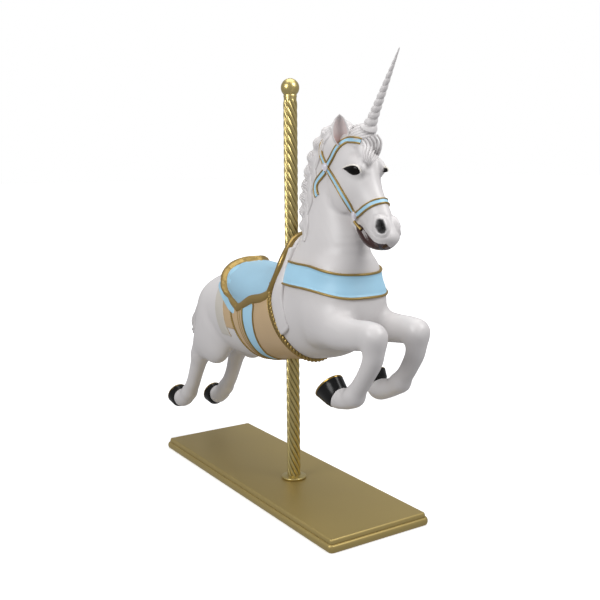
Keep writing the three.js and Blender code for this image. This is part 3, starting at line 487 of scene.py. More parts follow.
# The unicorn: one hollow glass-fibre casting, sanded smooth and sprayed satin white, with the pole
# through its back and belly. Its skin is a field of rounded limbs and muscles, negative inside.
# Stations are (x, y, z, half width across, half depth in the bend's plane).
barrel = [(-.598, 0, .640, .076, .090), (-.542, 0, .648, .112, .134), (-.450, 0, .658, .138, .158),
          (-.300, 0, .655, .150, .165), (-.150, 0, .674, .152, .172), (0, 0, .710, .148, .177),
          (.150, 0, .745, .142, .188), (.290, 0, .778, .132, .182), (.368, 0, .812, .106, .150)]
neck = [(.230, 0, .850, .118, .185), (.285, 0, .960, .098, .158), (.268, 0, 1.060, .080, .128),
        (.252, 0, 1.160, .068, .106), (.275, 0, 1.250, .062, .095), (.325, 0, 1.315, .058, .075)]
head = [(.350, 0, 1.318, .056, .080), (.388, 0, 1.255, .064, .098), (.422, 0, 1.190, .062, .094),
        (.470, 0, 1.137, .048, .074), (.522, 0, 1.086, .040, .060), (.553, 0, 1.048, .044, .048),
        (.566, 0, 1.030, .040, .040)]
lower_jaw = [(.440, 0, 1.080, .036, .032), (.492, 0, 1.022, .035, .026), (.535, 0, 1.003, .031, .018),
             (.566, 0, 1.002, .024, .013)]
near_fore = {
    "arm": [(.330, -.088, .738, .054, .088), (.430, -.098, .716, .050, .066), (.530, -.101, .716, .043, .052),
            (.600, -.101, .724, .040, .049), (.638, -.101, .724, .039, .047)],
    "cannon": [(.640, -.101, .724, .037, .042), (.634, -.101, .655, .033, .035),
               (.600, -.101, .597, .029, .030), (.560, -.101, .545, .029, .030),
               (.530, -.101, .512, .033, .034)],
    "pastern": [(.540, -.101, .512, .033, .033), (.500, -.101, .494, .033, .033),
                (.447, -.101, .489, .038, .038)],
    "hoof": ((.447, -.101, .484), (.400, -.101, .527))}
far_fore = {
    "arm": [(.300, .084, .735, .054, .088), (.400, .095, .712, .050, .064), (.500, .100, .712, .043, .050),
            (.568, .100, .716, .040, .048), (.606, .100, .714, .039, .046)],
    "cannon": [(.610, .100, .714, .037, .042), (.603, .100, .650, .033, .034), (.583, .100, .608, .030, .031),
               (.552, .100, .562, .029, .030), (.520, .100, .528, .032, .033)],
    "pastern": [(.530, .100, .528, .033, .033), (.478, .100, .500, .033, .033),
                (.418, .100, .480, .037, .037), (.400, .100, .487, .038, .038)],
    "hoof": ((.394, .100, .500), (.373, .100, .523))}
near_hind = {
    "arm": [(-.470, -.078, .600, .062, .110), (-.540, -.088, .530, .056, .084),
            (-.592, -.090, .480, .046, .058), (-.625, -.090, .435, .037, .042)],
    "cannon": [(-.622, -.090, .440, .037, .042), (-.647, -.090, .392, .034, .037),
               (-.680, -.090, .335, .031, .033), (-.708, -.090, .288, .031, .032),
               (-.748, -.090, .238, .033, .034)],
    "pastern": [(-.748, -.090, .238, .033, .034), (-.786, -.090, .207, .036, .037),
                (-.822, -.090, .194, .041, .041)],
    "hoof": ((-.838, -.090, .183), (-.882, -.090, .202))}
far_hind = {
    "arm": [(-.470, .078, .600, .062, .110), (-.535, .088, .530, .056, .084), (-.582, .090, .480, .046, .058),
            (-.612, .090, .435, .037, .042)],
    "cannon": [(-.610, .090, .440, .037, .042), (-.634, .090, .388, .034, .037),
               (-.660, .090, .335, .031, .033), (-.690, .090, .288, .031, .032),
               (-.733, .090, .240, .033, .034)],
    "pastern": [(-.733, .090, .240, .033, .034), (-.773, .090, .204, .036, .037),
                (-.810, .090, .186, .041, .041)],
    "hoof": ((-.828, .090, .168), (-.872, .090, .184))}
legs = [near_fore, far_fore, near_hind, far_hind]
seat = [(-.352, 0, .776, .110, .078), (-.280, 0, .782, .128, .094), (-.180, 0, .774, .143, .100),
        (-.070, 0, .762, .148, .100), (.020, 0, .768, .140, .094)]
tail = [(-.640, 0, .700, .030, .030), (-.725, 0, .655, .034, .034), (-.795, 0, .580, .032, .030),
        (-.832, 0, .520, .022, .020)]
mane_crest = [(.330, -.004, 1.384, .040, .036), (.286, -.014, 1.366, .038, .038),
              (.252, -.020, 1.330, .042, .042), (.222, -.024, 1.284, .042, .044),
              (.204, -.026, 1.236, .042, .042), (.186, -.026, 1.190, .042, .040),
              (.176, -.026, 1.146, .044, .042), (.172, -.025, 1.098, .044, .044),
              (.172, -.022, 1.046, .046, .046), (.176, -.016, 1.000, .046, .044)]
# Muscles are ellipsoids: centre, radii along x, y and z, pitch in degrees about +Y
paired_muscles = [((-.488, .088, .532), (.118, .058, .108), 0), ((-.516, .060, .640), (.100, .072, .116), 0),
                  ((.325, .088, .770), (.100, .052, .122), 20), ((.405, .048, .812), (.062, .056, .080), 0)]
breast = ((.360, 0, .905), (.085, .115, .065), 0)
paired_face_forms = [((.388, .038, 1.180), (.076, .030, .078), 0), ((.462, .040, 1.254), (.046, .021, .030), 20),
                     ((.582, .027, 1.066), (.021, .017, .028), -30)]
single_face_forms = [((.578, 0, 1.036), (.034, .038, .024), 20), ((.446, 0, 1.342), (.046, .042, .050), 0),
                     ((.482, -.020, 1.296), (.020, .024, .042), -30)]
outside = 1.0
field_margin = 0.065


def smooth_line(stations, steps):
    """Points of a Catmull-Rom curve through stations, with steps points for each span."""
    table = np.array(stations, dtype=float)
    padded = np.concatenate([table[:1], table, table[-1:]])
    share = np.linspace(0, 1, steps, endpoint=False)[:, None]
    spans = []
    for i in range(len(table) - 1):
        before, start, end, after = padded[i:i + 4]
        spans.append(0.5 * (2 * start + (end - before) * share
                            + (2 * before - 5 * start + 4 * end - after) * share ** 2
                            + (3 * start - before - 3 * end + after) * share ** 3))
    return np.concatenate([*spans, table[-1:]])


def lengths_of(vectors):
    return np.sqrt(np.einsum("ij,ij->i", vectors, vectors))


class Taper:
    """A straight stretch of a limb, elliptical in section and tapering from one station to the next."""

    def __init__(self, start, end):
        self.start = start[:3]
        self.span = end[:3] - start[:3]
        self.radii = (start[3:5], end[3:5])
        self.length = np.linalg.norm(self.span)
        axis = self.span / self.length
        across = np.array([0.0, 1.0, 0.0]) - axis * axis[1]
        across /= np.linalg.norm(across)
        self.axes = np.stack([axis, across, np.cross(across, axis)], -1)
        self.middle = self.start + self.span / 2
        self.reach = self.length / 2 + max(start[3], start[4], end[3], end[4])

    def distance(self, points):
        offset = points - self.start
        share = np.clip(offset @ self.axes[:, 0] / self.length, 0, 1)[:, None]
        offset -= share * self.span
        radii = self.radii[0] + (self.radii[1] - self.radii[0]) * share
        scaled = offset @ self.axes
        scaled[:, 0] /= np.minimum(radii[:, 0], radii[:, 1])
        scaled[:, 1:] /= radii
        ratio = np.maximum(lengths_of(scaled), 1e-6)
        return lengths_of(offset) * (1 - 1 / ratio)


class Muscle:
    """An ellipsoid, pitched about +Y."""

    def __init__(self, centre, radii, pitch):
        self.middle = np.array(centre, dtype=float)
        self.radii = np.array(radii, dtype=float)
        self.reach = max(radii)
        sine, cosine = math.sin(math.radians(pitch)), math.cos(math.radians(pitch))
        self.axes = np.array([[cosine, 0, sine], [0, 1, 0], [-sine, 0, cosine]])

    def distance(self, points):
        offset = points - self.middle
        ratio = np.maximum(lengths_of(offset @ self.axes / self.radii), 1e-6)
        return lengths_of(offset) * (1 - 1 / ratio)


def limb(stations, fillet, steps=3):
    """A form: the fillet that joins it to what is before it, and its shapes."""
    line = smooth_line(stations, steps)
    return fillet, [Taper(start, end) for start, end in zip(line, line[1:])]


def both_sides(forms):
    return [((x, side * y, z), radii, pitch) for (x, y, z), radii, pitch in forms for side in (-1, 1)]


def lumps(forms, fillet):
    return [(fillet, [Muscle(*form)]) for form in forms]


def field_at(points, forms):
    """The joined field of the forms at points, right near the surface."""
    order = np.argsort(points[:, 0])
    spots = points[order]
    x, y, z = np.ascontiguousarray(spots.T)
    value = np.full(len(spots), outside)
    for fillet, shapes in forms:
        distance = np.full(len(spots), outside)
        for shape in shapes:
            reach = shape.reach + field_margin
            low, high = np.searchsorted(x, (shape.middle[0] - reach, shape.middle[0] + reach))
            near = low + np.nonzero((np.abs(z[low:high] - shape.middle[2]) < reach)
                                    & (np.abs(y[low:high] - shape.middle[1]) < reach))[0]
            if len(near):
                distance[near] = np.minimum(distance[near], shape.distance(spots[near]))
        touched = np.nonzero(distance < outside)[0]
        here, new = value[touched], distance[touched]
        overlap = np.maximum(fillet - np.abs(here - new), 0)
        value[touched] = np.minimum(here, new) - overlap ** 2 / (4 * fillet)
    unsorted = np.empty_like(value)
    unsorted[order] = value
    return unsorted


def slope_at(points, forms):
    """Unit direction in which the field rises, which is the skin's outward normal."""
    step = 0.0008
    slopes = [field_at(points + offset, forms) - field_at(points - offset, forms)
              for offset in np.eye(3) * step]
    slope = np.stack(slopes, -1)
    return slope / np.maximum(np.linalg.norm(slope, axis=1, keepdims=True), 1e-9)


def settled(points, forms, rounds=2):
    """Points moved straight on to the skin."""
    step = 0.001
    for _ in range(rounds):
        value = field_at(points, forms)
        slope = np.stack([field_at(points + offset, forms) - value for offset in np.eye(3) * step], -1)
        slope /= np.maximum(np.linalg.norm(slope, axis=1, keepdims=True), 1e-9)
        points = points - slope * np.clip(value, -0.02, 0.02)[:, None]
    return points


trunk = [limb(barrel, .040, 8), limb(neck, .050, 8), limb(head, .026, 6),
         *lumps([*both_sides(paired_muscles), breast], .040)]
for leg in legs:
    trunk += [limb(leg["arm"], .034), limb(leg["cannon"], .020), limb(leg["pastern"], .014)]
face = [*lumps(both_sides(paired_face_forms), .016), *lumps(single_face_forms, .016)]
mane_lumps = [((x, y, z), (along, across, along * 0.72), 0) for x, y, z, across, along in mane_crest]
hide = [*trunk, *face, limb(lower_jaw, .008), limb(tail, .014), *lumps(mane_lumps, .009), limb(seat, .010, 4)]


def sampled_field(forms, low, high, step):
    """The field on a regular grid. Only the blocks near the skin are worked out in full."""
    block = 4
    reach = block // 2 + 1
    counts = [int(math.ceil((top - bottom) / step / block)) * block + 1 for bottom, top in zip(low, high)]
    axes = [bottom + step * np.arange(count) for bottom, count in zip(low, counts)]
    coarse = np.stack(np.meshgrid(*[axis[::block] for axis in axes], indexing="ij"), -1)
    rough = field_at(coarse.reshape(-1, 3), forms).reshape(coarse.shape[:3])
    near = np.abs(rough) < block * step * 1.7
    wanted = np.zeros(counts, dtype=bool)
    for i, j, k in np.argwhere(near) * block:
        wanted[max(i - reach, 0):i + reach + 1, max(j - reach, 0):j + reach + 1,
               max(k - reach, 0):k + reach + 1] = True
    values = np.kron(rough, np.ones((block, block, block)))[:counts[0], :counts[1], :counts[2]]
    found = np.argwhere(wanted)
    values[wanted] = field_at(np.stack([axis[found[:, n]] for n, axis in enumerate(axes)], -1), forms)
    return values


def netted(values, low, step):
    """Points and triangles of the surface where the field is nought, one point to a cell."""
    inside = values < 0
    cells = tuple(count - 1 for count in values.shape)
    corner_steps_in_cell = [(i, j, k) for i in (0, 1) for j in (0, 1) for k in (0, 1)]

    def corner(array, offset):
        return array[tuple(slice(shift, shift + size) for shift, size in zip(offset, cells))]

    count = sum(corner(inside, offset).astype(np.int8) for offset in corner_steps_in_cell)
    live = np.argwhere((count > 0) & (count < 8))
    number = np.full(cells, -1)
    number[tuple(live.T)] = np.arange(len(live))
    total = np.zeros((len(live), 3))
    hits = np.zeros((len(live), 1))
    for axis in range(3):
        along = np.eye(3, dtype=int)[axis]
        for offset in corner_steps_in_cell:
            if offset[axis] == 0:
                start = live + offset
                end = start + along
                first, second = values[tuple(start.T)], values[tuple(end.T)]
                crossed = (first < 0) != (second < 0)
                share = np.where(crossed, first / np.where(crossed, first - second, 1), 0)[:, None]
                total += np.where(crossed[:, None], np.array(offset) + share * along, 0)
                hits += crossed[:, None]
    points = np.array(low) + step * (live + total / hits)
    quads = []
    for axis in range(3):
        second_axis, third_axis = (axis + 1) % 3, (axis + 2) % 3
        along = np.eye(3, dtype=int)[axis]
        edge_shape = tuple(size - along[n] for n, size in enumerate(values.shape))
        start = inside[tuple(slice(0, size) for size in edge_shape)]
        end = inside[tuple(slice(along[n], along[n] + size) for n, size in enumerate(edge_shape))]
        edges = np.argwhere(start != end)
        outward = start[tuple(edges.T)]
        back_second, back_third = np.eye(3, dtype=int)[second_axis], np.eye(3, dtype=int)[third_axis]
        ring = [edges, edges - back_second, edges - back_second - back_third, edges - back_third]
        ids = np.stack([number[tuple(cell.T)] for cell in ring], -1)
        quads.append(np.where(outward[:, None], ids, ids[:, ::-1]))
    quads = np.concatenate(quads)
    return points, np.concatenate([quads[:, [0, 1, 2]], quads[:, [0, 2, 3]]])


def refined(points, triangles, wanted_length):
    """Splits each edge that is longer than is wanted at its middle, and its triangles with it."""
    sides = np.stack([triangles, np.roll(triangles, -1, 1)], -1).reshape(-1, 2)
    edges, side_edge = np.unique(np.sort(sides, 1), axis=0, return_inverse=True)
    middles = points[edges].mean(1)
    lengths = np.linalg.norm(points[edges[:, 0]] - points[edges[:, 1]], axis=1)
    split = lengths > wanted_length(middles)
    middle_number = np.where(split, len(points) + np.cumsum(split) - 1, -1)
    of_side = middle_number[side_edge.reshape(-1)].reshape(-1, 3)
    cuts = (of_side >= 0).sum(1)
    made = [triangles[cuts == 0]]
    for cut_count, wanted in ((1, (True, False, False)), (2, (True, True, False))):
        for turn_count in range(3):
            corners = np.roll(triangles, -turn_count, 1)
            middle = np.roll(of_side, -turn_count, 1)
            chosen = (cuts == cut_count) & np.all((middle >= 0) == wanted, 1)
            (a, b, c), (ab, bc, _) = corners[chosen].T, middle[chosen].T
            if cut_count == 1:
                made += [np.stack([a, ab, c], -1), np.stack([ab, b, c], -1)]
            else:
                made += [np.stack([ab, b, bc], -1), np.stack([a, ab, bc], -1), np.stack([a, bc, c], -1)]
    (a, b, c), (ab, bc, ca) = triangles[cuts == 3].T, of_side[cuts == 3].T
    made += [np.stack([a, ab, ca], -1), np.stack([ab, b, bc], -1), np.stack([ca, bc, c], -1),
             np.stack([ab, bc, ca], -1)]
    return np.concatenate([points, middles[split]]), np.concatenate(made)


def eased(points, triangles, rounds, part=1.0):
    """Points moved towards their neighbours and nearly back again, so that only ripples go.
    Part is how much of it each point takes."""
    edges = np.unique(np.sort(np.stack([triangles, np.roll(triangles, -1, 1)], -1).reshape(-1, 2), 1), axis=0)
    both_ways = np.concatenate([edges, edges[:, ::-1]])
    degree = np.bincount(both_ways[:, 0], minlength=len(points))[:, None]
    for pull in (0.60, -0.62) * rounds:
        sums = [np.bincount(both_ways[:, 0], points[both_ways[:, 1], n], len(points)) for n in range(3)]
        points = points + pull * part * (np.stack(sums, -1) / degree - points)
    return points


def photo_rays(pixels):
    """Directions in which the camera sees pixels of the photograph."""
    across = (np.asarray(pixels, dtype=float) - picture_width / 2) / focal_pixels
    directions = (across[:, :1] * np.array(camera_right) - across[:, 1:] * np.array(camera_up)
                  - np.array(camera_back))
    return directions / np.linalg.norm(directions, axis=1, keepdims=True)


def first_hit(origin, directions, forms, nearest, farthest, step=0.006):
    """Where rays first meet the skin, or their nearest point to it if they miss."""
    distances = np.arange(nearest, farthest, step)
    origin = np.broadcast_to(origin, directions.shape)
    spots = origin[:, None] + directions[:, None] * distances[:, None]
    values = field_at(spots.reshape(-1, 3), forms).reshape(len(directions), -1)
    hit = values < 0
    first = np.where(hit.any(1), hit.argmax(1), values.argmin(1))
    high = distances[first]
    low = high - step
    for _ in range(9):
        middle = (low + high) / 2
        inside = field_at(origin + directions * middle[:, None], forms) < 0
        high = np.where(inside, middle, high)
        low = np.where(inside, low, middle)
    return origin + directions * high[:, None]


def on_skin(pixels, forms):
    return first_hit(np.array(camera_place), photo_rays(pixels), forms, 1.9, 3.6)


nostril_pixels = [(375.9, 221.6), (376.8, 219.6), (379.4, 218.7), (383.2, 219.5), (384.9, 223.2), (386.4, 230.0),
                  (384.6, 233.4), (381.6, 234.0), (378.2, 232.6), (375.2, 227.4)]
mouth_pixels = [(359.4, 224.0), (362.6, 226.6), (365.7, 231.5), (369.9, 237.3), (374.0, 241.6), (378.2, 243.6),
                (384.4, 244.2), (390.0, 242.8), (396.0, 238.5), (401.0, 233.0), (404.0, 262.0), (352.0, 262.0),
                (352.0, 226.0)]
nostril_depth = 0.016
head_skin = [*trunk, *face, limb(lower_jaw, .008)]
nostril_place, mouth_place = on_skin([(380.8, 226.5), (368.0, 240.0)], head_skin)


def mirrored(points):
    return points * (1, -1, 1)


def local_axes(place, forms):
    """Two directions along the skin at a place, the second one the nearest to straight up, and its normal."""
    normal = slope_at(place[None], forms)[0]
    up = np.array([0, 0, 1.0]) - normal * normal[2]
    up /= np.linalg.norm(up)
    return np.cross(up, normal), up, normal


def photo_place(points):
    """Where the camera sees points, in pixels of the photograph."""
    offset = points - np.array(camera_place)
    depth = -offset @ np.array(camera_back)
    return np.stack([picture_width / 2 + focal_pixels * (offset @ np.array(camera_right)) / depth,
                     picture_width / 2 - focal_pixels * (offset @ np.array(camera_up)) / depth], -1)


def beyond_outline(points, outline, place, radius):
    """Pixels from an outline in the photograph, negative inside it, for skin near a place on either side."""
    right_side = points * np.where(points[:, 1:2] > 0, (1, -1, 1), (1, 1, 1))
    distance = np.full(len(points), 99.0)
    near = np.linalg.norm(right_side - place, axis=1) < radius
    spots = photo_place(right_side[near])
    nearest = np.full(len(spots), 99.0)
    crossings = np.zeros(len(spots), dtype=int)
    for start, end in zip(outline, [*outline[1:], outline[0]]):
        start, span = np.array(start), np.array(end) - start
        share = np.clip((spots - start) @ span / (span @ span), 0, 1)[:, None]
        nearest = np.minimum(nearest, np.linalg.norm(spots - start - share * span, axis=1))
        beside = (spots[:, 1] > start[1]) != (spots[:, 1] > start[1] + span[1])
        rise = (spots[:, 1] - start[1]) / (span[1] if span[1] else 1.0)
        crossings += beside & (spots[:, 0] < start[0] + rise * span[0])
    distance[near] = np.where(crossings % 2 == 1, -nearest, nearest)
    return distance


fine_spots = [((.500, 0, 1.10), 0.17, .0060), ((.440, 0, 1.27), 0.16, .0060), ((.584, 0, 1.06), 0.065, .0030)]
plain_edge = 0.0150
skin_step = 0.0080
# The box of the neck's front, which is sanded smoothest
neck_front_low = (.23, -.2, .91)
neck_front_high = (.43, .2, 1.16)


def wanted_edge(points):
    length = np.full(len(points), plain_edge)
    for centre, radius, edge in fine_spots:
        near = np.linalg.norm(points - centre, axis=1) < radius
        length[near] = np.minimum(length[near], edge)
    return length


skin_points, skin_faces = netted(sampled_field(hide, (-.93, -.176, .12), (.71, .176, 1.46), skin_step),
                                 (-.93, -.176, .12), skin_step)
skin_points = settled(skin_points, hide)
for _ in range(2):
    skin_points, skin_faces = refined(skin_points, skin_faces, wanted_edge)
    skin_points = settled(skin_points, hide, 1)
skin_points = eased(skin_points, skin_faces, 12)
within = np.minimum(skin_points - neck_front_low, neck_front_high - skin_points).min(1)
skin_points = eased(skin_points, skin_faces, 60, np.clip(within / 0.03, 0, 1)[:, None])
nostril = beyond_outline(skin_points, nostril_pixels, nostril_place, 0.060)
skin_normals = slope_at(skin_points, hide)
bowl = np.clip(-nostril / 4.5, 0, 1)
rim = np.exp(-((nostril - 1.3) / 1.1) ** 2)
crease = np.exp(-((nostril - 4.4) / 0.9) ** 2)
skin_points = skin_points + skin_normals * (0.0022 * rim - nostril_depth * bowl - 0.0012 * crease)[:, None]
mouth = beyond_outline(skin_points, mouth_pixels, mouth_place, 0.085)
jaw_share = np.clip(0.5 - mouth, 0, 1) * (skin_points[:, 0] > 0.455) * (skin_normals[:, 2] < 0.75)


def white_paint():
    finish = Finish("unicorn_white")
    cloud = finish.noise(5.0, 3.0)
    grain = finish.noise(160.0, 2.0)
    white = finish.mix_colour(cloud, (0.645, 0.620, 0.615, 1.0), (0.700, 0.678, 0.672, 1.0))
    nostril_dark = finish.attribute("nostril")
    jaw_dark = finish.ease(finish.attribute("jaw"), 0.25, 0.75)
    darker = finish.mix_colour(nostril_dark, white, (0.004, 0.003, 0.003, 1.0))
    colour = finish.mix_colour(jaw_dark, darker, (0.034, 0.008, 0.006, 1.0))
    return finish.done({"Base Color": colour, "Roughness": 0.40 + cloud * 0.06 - jaw_dark * 0.26,
                        "Coat Weight": 0.12, "Coat Roughness": 0.25,
                        "Normal": finish.bump(grain, 0.06, 0.0005)})


satin_white = white_paint()
body = add_piece("unicorn_casting", skin_points, skin_faces, satin_white,
                 attributes={"nostril": np.clip((0.5 - nostril) / 1.0, 0, 1), "jaw": jaw_share})
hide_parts("unicorn")

# The horn: a cast cone with one round-backed thread wound up it, set in the brow and painted white.
horn_root = Vector((.476, 0, 1.376))
horn_tip = Vector((.627, 0, 1.611))
horn_root_radius = 0.0185
horn_tip_radius = 0.0015
horn_turns = 12.0
horn_groove = 0.27
horn_flare = 0.58


def spiral_horn_tree(material):
    """Draws a straight tube in to a point and winds a thread round it."""
    tree = geometry_tree("spiral_horn", ["Length", "Root Radius", "Tip Radius", "Turns", "Groove", "Flare"])
    parts = tree.node("ShaderNodeSeparateXYZ", sockets={0: tree.node("GeometryNodeInputPosition")})
    share = parts.output("Z") / tree.entry.output("Length")
    angle = tree.math("ARCTAN2", parts.output("Y"), parts)
    wound = angle - share * tree.entry.output("Turns") * 2 * math.pi
    thread = tree.math("POWER", abs(tree.math("SINE", wound * 0.5)), 0.55)
    flare = tree.math("POWER", 1 - share, 16.0) * tree.entry.output("Flare") + 1
    narrowing = tree.math("POWER", 1 - share, 0.9) * flare
    smooth_radius = tree.entry.output("Root Radius") * narrowing + tree.entry.output("Tip Radius")
    radius = smooth_radius * (1 - tree.entry.output("Groove") * (1 - thread))
    flat = tree.node("ShaderNodeCombineXYZ", sockets={0: parts, 1: parts.output("Y")})
    outward = tree.node("ShaderNodeVectorMath", {"operation": "NORMALIZE"}, {0: flat})
    spread = tree.node("ShaderNodeVectorMath", {"operation": "SCALE"}, {0: outward, "Scale": radius})
    lifted = tree.node("ShaderNodeCombineXYZ", sockets={2: parts.output("Z")})
    wanted = tree.node("ShaderNodeVectorMath", {"operation": "ADD"}, {0: spread, 1: lifted})
    close_tree(tree, tree.node("GeometryNodeSetPosition", sockets={"Geometry": tree.entry,
                                                                   "Position": wanted}), material)
    return tree


horn_axis = (horn_tip - horn_root).normalized()
horn_length = (horn_tip - horn_root).length
horn_across = Vector((0, 1, 0))
horn_turn = Matrix((horn_across, horn_axis.cross(horn_across), horn_axis)).transposed().to_4x4()
horn = grown("spiral_horn", spiral_horn_tree(satin_white),
             {"Length": horn_length, "Root Radius": horn_root_radius, "Tip Radius": horn_tip_radius,
              "Turns": horn_turns, "Groove": horn_groove, "Flare": horn_flare},
             plain_tube(horn_root_radius, 0.0, horn_length - 0.0005, 40, 260))
horn.data.transform(Matrix.Translation(horn_root) @ horn_turn)

# The hooves: cast with the legs and painted gloss black, each with a thin gold line for its shoe.
hoof_coronet_radius = 0.045
hoof_sole_radius = 0.0514
hoof_narrowing = 0.94
hoof_profile = [(.45, -.35), (.86, -.12), (.955, .02), (.985, .10), (.99, .35), (1.0, .70), (1.0, .89),
                (1.008, .91), (1.010, .97), (1.0, 1.0), (.93, 1.0), (.90, .97), (.50, .93), (.02, .93)]
hoof_shoe_start = 0.90


def hoof_black():
    finish = Finish("hoof_black")
    cloud = finish.noise(30.0, 2.0)
    along = finish.attribute("along")
    shoe = finish.ease(along, hoof_shoe_start, hoof_shoe_start + 0.01)
    black = finish.mix_colour(cloud, (0.004, 0.004, 0.004, 1.0), (0.009, 0.009, 0.009, 1.0))
    colour = finish.mix_colour(shoe, black, (0.34, 0.22, 0.05, 1.0))
    return finish.done({"Base Color": colour, "Roughness": 0.20 + cloud * 0.10,
                        "Metallic": shoe * 0.85, "Specular IOR Level": 0.18, "Coat Weight": 0.08,
                        "Coat Roughness": 0.08})


gloss_black = hoof_black()
hoof_names = ["hoof_fore_right", "hoof_fore_left", "hoof_hind_right", "hoof_hind_left"]
hoof_around = 56
# How much longer and how far out to the toe each sole lies
hoof_toes = [(0.24, 0.014), (0.10, 0.004), (0.0, 0.0), (0.0, 0.0)]
for hoof_name, leg, (longer, toe) in zip(hoof_names, legs, hoof_toes):
    coronet, sole = (np.array(end) for end in leg["hoof"])
    axis = sole - coronet
    length = np.linalg.norm(axis)
    across = np.array([0, 1.0, 0])
    inward = np.cross(axis / length, across)
    toe_side = -1 if inward[2] > 0 else 1
    angles = np.linspace(0, 2 * math.pi, hoof_around, endpoint=False)[:, None]
    rings, along_values = [], []
    for width, along in hoof_profile:
        radius = width * (hoof_coronet_radius + (hoof_sole_radius - hoof_coronet_radius) * max(along, 0))
        centre = coronet + axis * along + inward * toe_side * toe * max(along, 0)
        stretch = 1 + longer * max(along, 0)
        rings.append(centre + radius * (hoof_narrowing * np.cos(angles) * across
                                        + stretch * np.sin(angles) * inward))
        along_values += [along if width > 0.92 else 0.0] * hoof_around
    points, faces = capped_rings(rings)
    add_piece(hoof_name, points, faces, gloss_black, math.radians(50),
              {"along": along_values})

# The eyes: glossy black almonds set in the cast lids, each under a thin cream line on its upper lid.
near_eye_outline = [(343.0, 168.7), (345.6, 167.2), (349.0, 165.8), (353.0, 165.2), (356.9, 166.2),
                    (359.6, 169.2), (360.8, 173.0), (357.8, 174.8), (353.7, 175.4), (349.8, 173.8),
                    (346.3, 171.0)]
left_eye_shift = (0.068, -0.010, 0.003)
eye_bulge = 0.0078
eye_steps = 12


def closed_line(points, steps):
    """Points of a closed Catmull-Rom curve."""
    table = np.asarray(points, dtype=float)
    looped = np.concatenate([table[-2:], table, table[:3]])
    return smooth_line(looped, steps)[2 * steps:(2 + len(table)) * steps]


def eye_paint():
    finish = Finish("eye_black")
    cloud = finish.noise(60.0, 2.0)
    iris = finish.ease(finish.attribute("reach"), 0.30, 0.75)
    colour = finish.mix_colour(iris * cloud, (0.0015, 0.0012, 0.001, 1.0), (0.007, 0.004, 0.003, 1.0))
    return finish.done({"Base Color": colour, "Roughness": 0.08 + cloud * 0.04,
                        "Specular IOR Level": 0.12, "Coat Weight": 0.05, "Coat Roughness": 0.03})


def cream_paint():
    finish = Finish("lid_cream")
    cloud = finish.noise(40.0, 2.0)
    colour = finish.mix_colour(cloud, (0.80, 0.76, 0.68, 1.0), (0.86, 0.83, 0.76, 1.0))
    return finish.done({"Base Color": colour, "Roughness": 0.38 + cloud * 0.05})


def swept_tubes_tree(material):
    """Gives polylines a round section whose radius is their points' own size."""
    tree = geometry_tree("swept_tubes", ["Sides"])
    size = tree.node("GeometryNodeInputNamedAttribute", {"data_type": "FLOAT"}, {"Name": "size"})
    lines = tree.node("GeometryNodeMeshToCurve", sockets={"Mesh": tree.entry})
    ring = tree.node("GeometryNodeCurvePrimitiveCircle", {"mode": "RADIUS"},
                     {"Resolution": tree.entry.output("Sides"), "Radius": 1.0})
    tubes = tree.node("GeometryNodeCurveToMesh", sockets={"Curve": lines, "Profile Curve": ring,
                                                          "Scale": size, "Fill Caps": True})
    close_tree(tree, tubes, material)
    return tree


def polyline_mesh(lines, sizes):
    """Lines of points as a mesh of edges, with the radius that each point wants."""
    mesh = bpy.data.meshes.new("polylines")
    starts = np.cumsum([0] + [len(line) for line in lines])
    edges = [(start + i, start + i + 1) for start, line in zip(starts, lines) for i in range(len(line) - 1)]
    mesh.from_pydata(np.concatenate(lines).tolist(), edges, [])
    layer = mesh.attributes.new("size", "FLOAT", "POINT")
    layer.data.foreach_set("value", np.concatenate(sizes).astype(np.float32))
    return mesh


def add_tubes(name, lines, sizes, material, sides=12.0):
    return grown(name, swept_tubes_tree(material), {"Sides": sides}, polyline_mesh(lines, sizes))


eye_edge = on_skin(closed_line(near_eye_outline, 5), head_skin)
eye_middle = eye_edge.mean(0)
eye_normal = slope_at(eye_middle[None], head_skin)[0]
eye_material = eye_paint()
lid_material = cream_paint()
left_edge = settled(eye_edge * (1, -1, 1) + left_eye_shift, head_skin)
right_eye = (eye_edge, eye_normal)
left_eye = (left_edge, slope_at(left_edge.mean(0)[None], head_skin)[0])
for side_name, side, (eye_edge, eye_normal) in (("right", 1, right_eye), ("left", -1, left_eye)):
    eye_edge = eye_edge + eye_normal * 0.0008
    eye_middle = eye_edge.mean(0)
    rings = []
    reach_values = []
    for reach in np.linspace(1.0, 0.04, eye_steps):
        swell = eye_bulge * (1 - reach ** 2.4) - 0.004 * (reach > 0.99)
        rings.append(eye_middle + (eye_edge - eye_middle) * reach + eye_normal * swell)
        reach_values += [reach] * len(eye_edge)
    points, faces = capped_rings(rings)
    if side < 0:
        faces = [face[::-1] for face in faces]
    add_piece("eye_" + side_name, points, faces, eye_material,
              attributes={"reach": reach_values})
    count = len(eye_edge)
    lid_line = eye_edge[np.arange(-1, int(count * 0.56)) % count]
    lid_line = lid_line + (lid_line - eye_middle) * 0.075 + eye_normal * 0.0004
    lid_size = 0.0026 * np.sin(np.linspace(0.12, math.pi - 0.25, len(lid_line))) ** 0.6
    add_tubes("upper_lid_" + side_name, [lid_line], [lid_size], lid_material)

# The ears: thin cast leaves rolled to a cup, open to the front and shaded pink inside.
near_ear_line = [(.398, -.050, 1.322), (.398, -.056, 1.350), (.394, -.057, 1.385), (.389, -.055, 1.424)]
far_ear_line = [(.378, .050, 1.322), (.376, .062, 1.345), (.372, .073, 1.370), (.368, .080, 1.394)]
ear_width = [.014, .024, .0295, .0300, .0270, .0190, .0012]
ear_facing = {"near": (.88, -.47, .05), "far": (.88, .47, .05)}
ear_roll = math.radians(104)
ear_wall = 0.0055
ear_rows = 30
ear_columns = 26


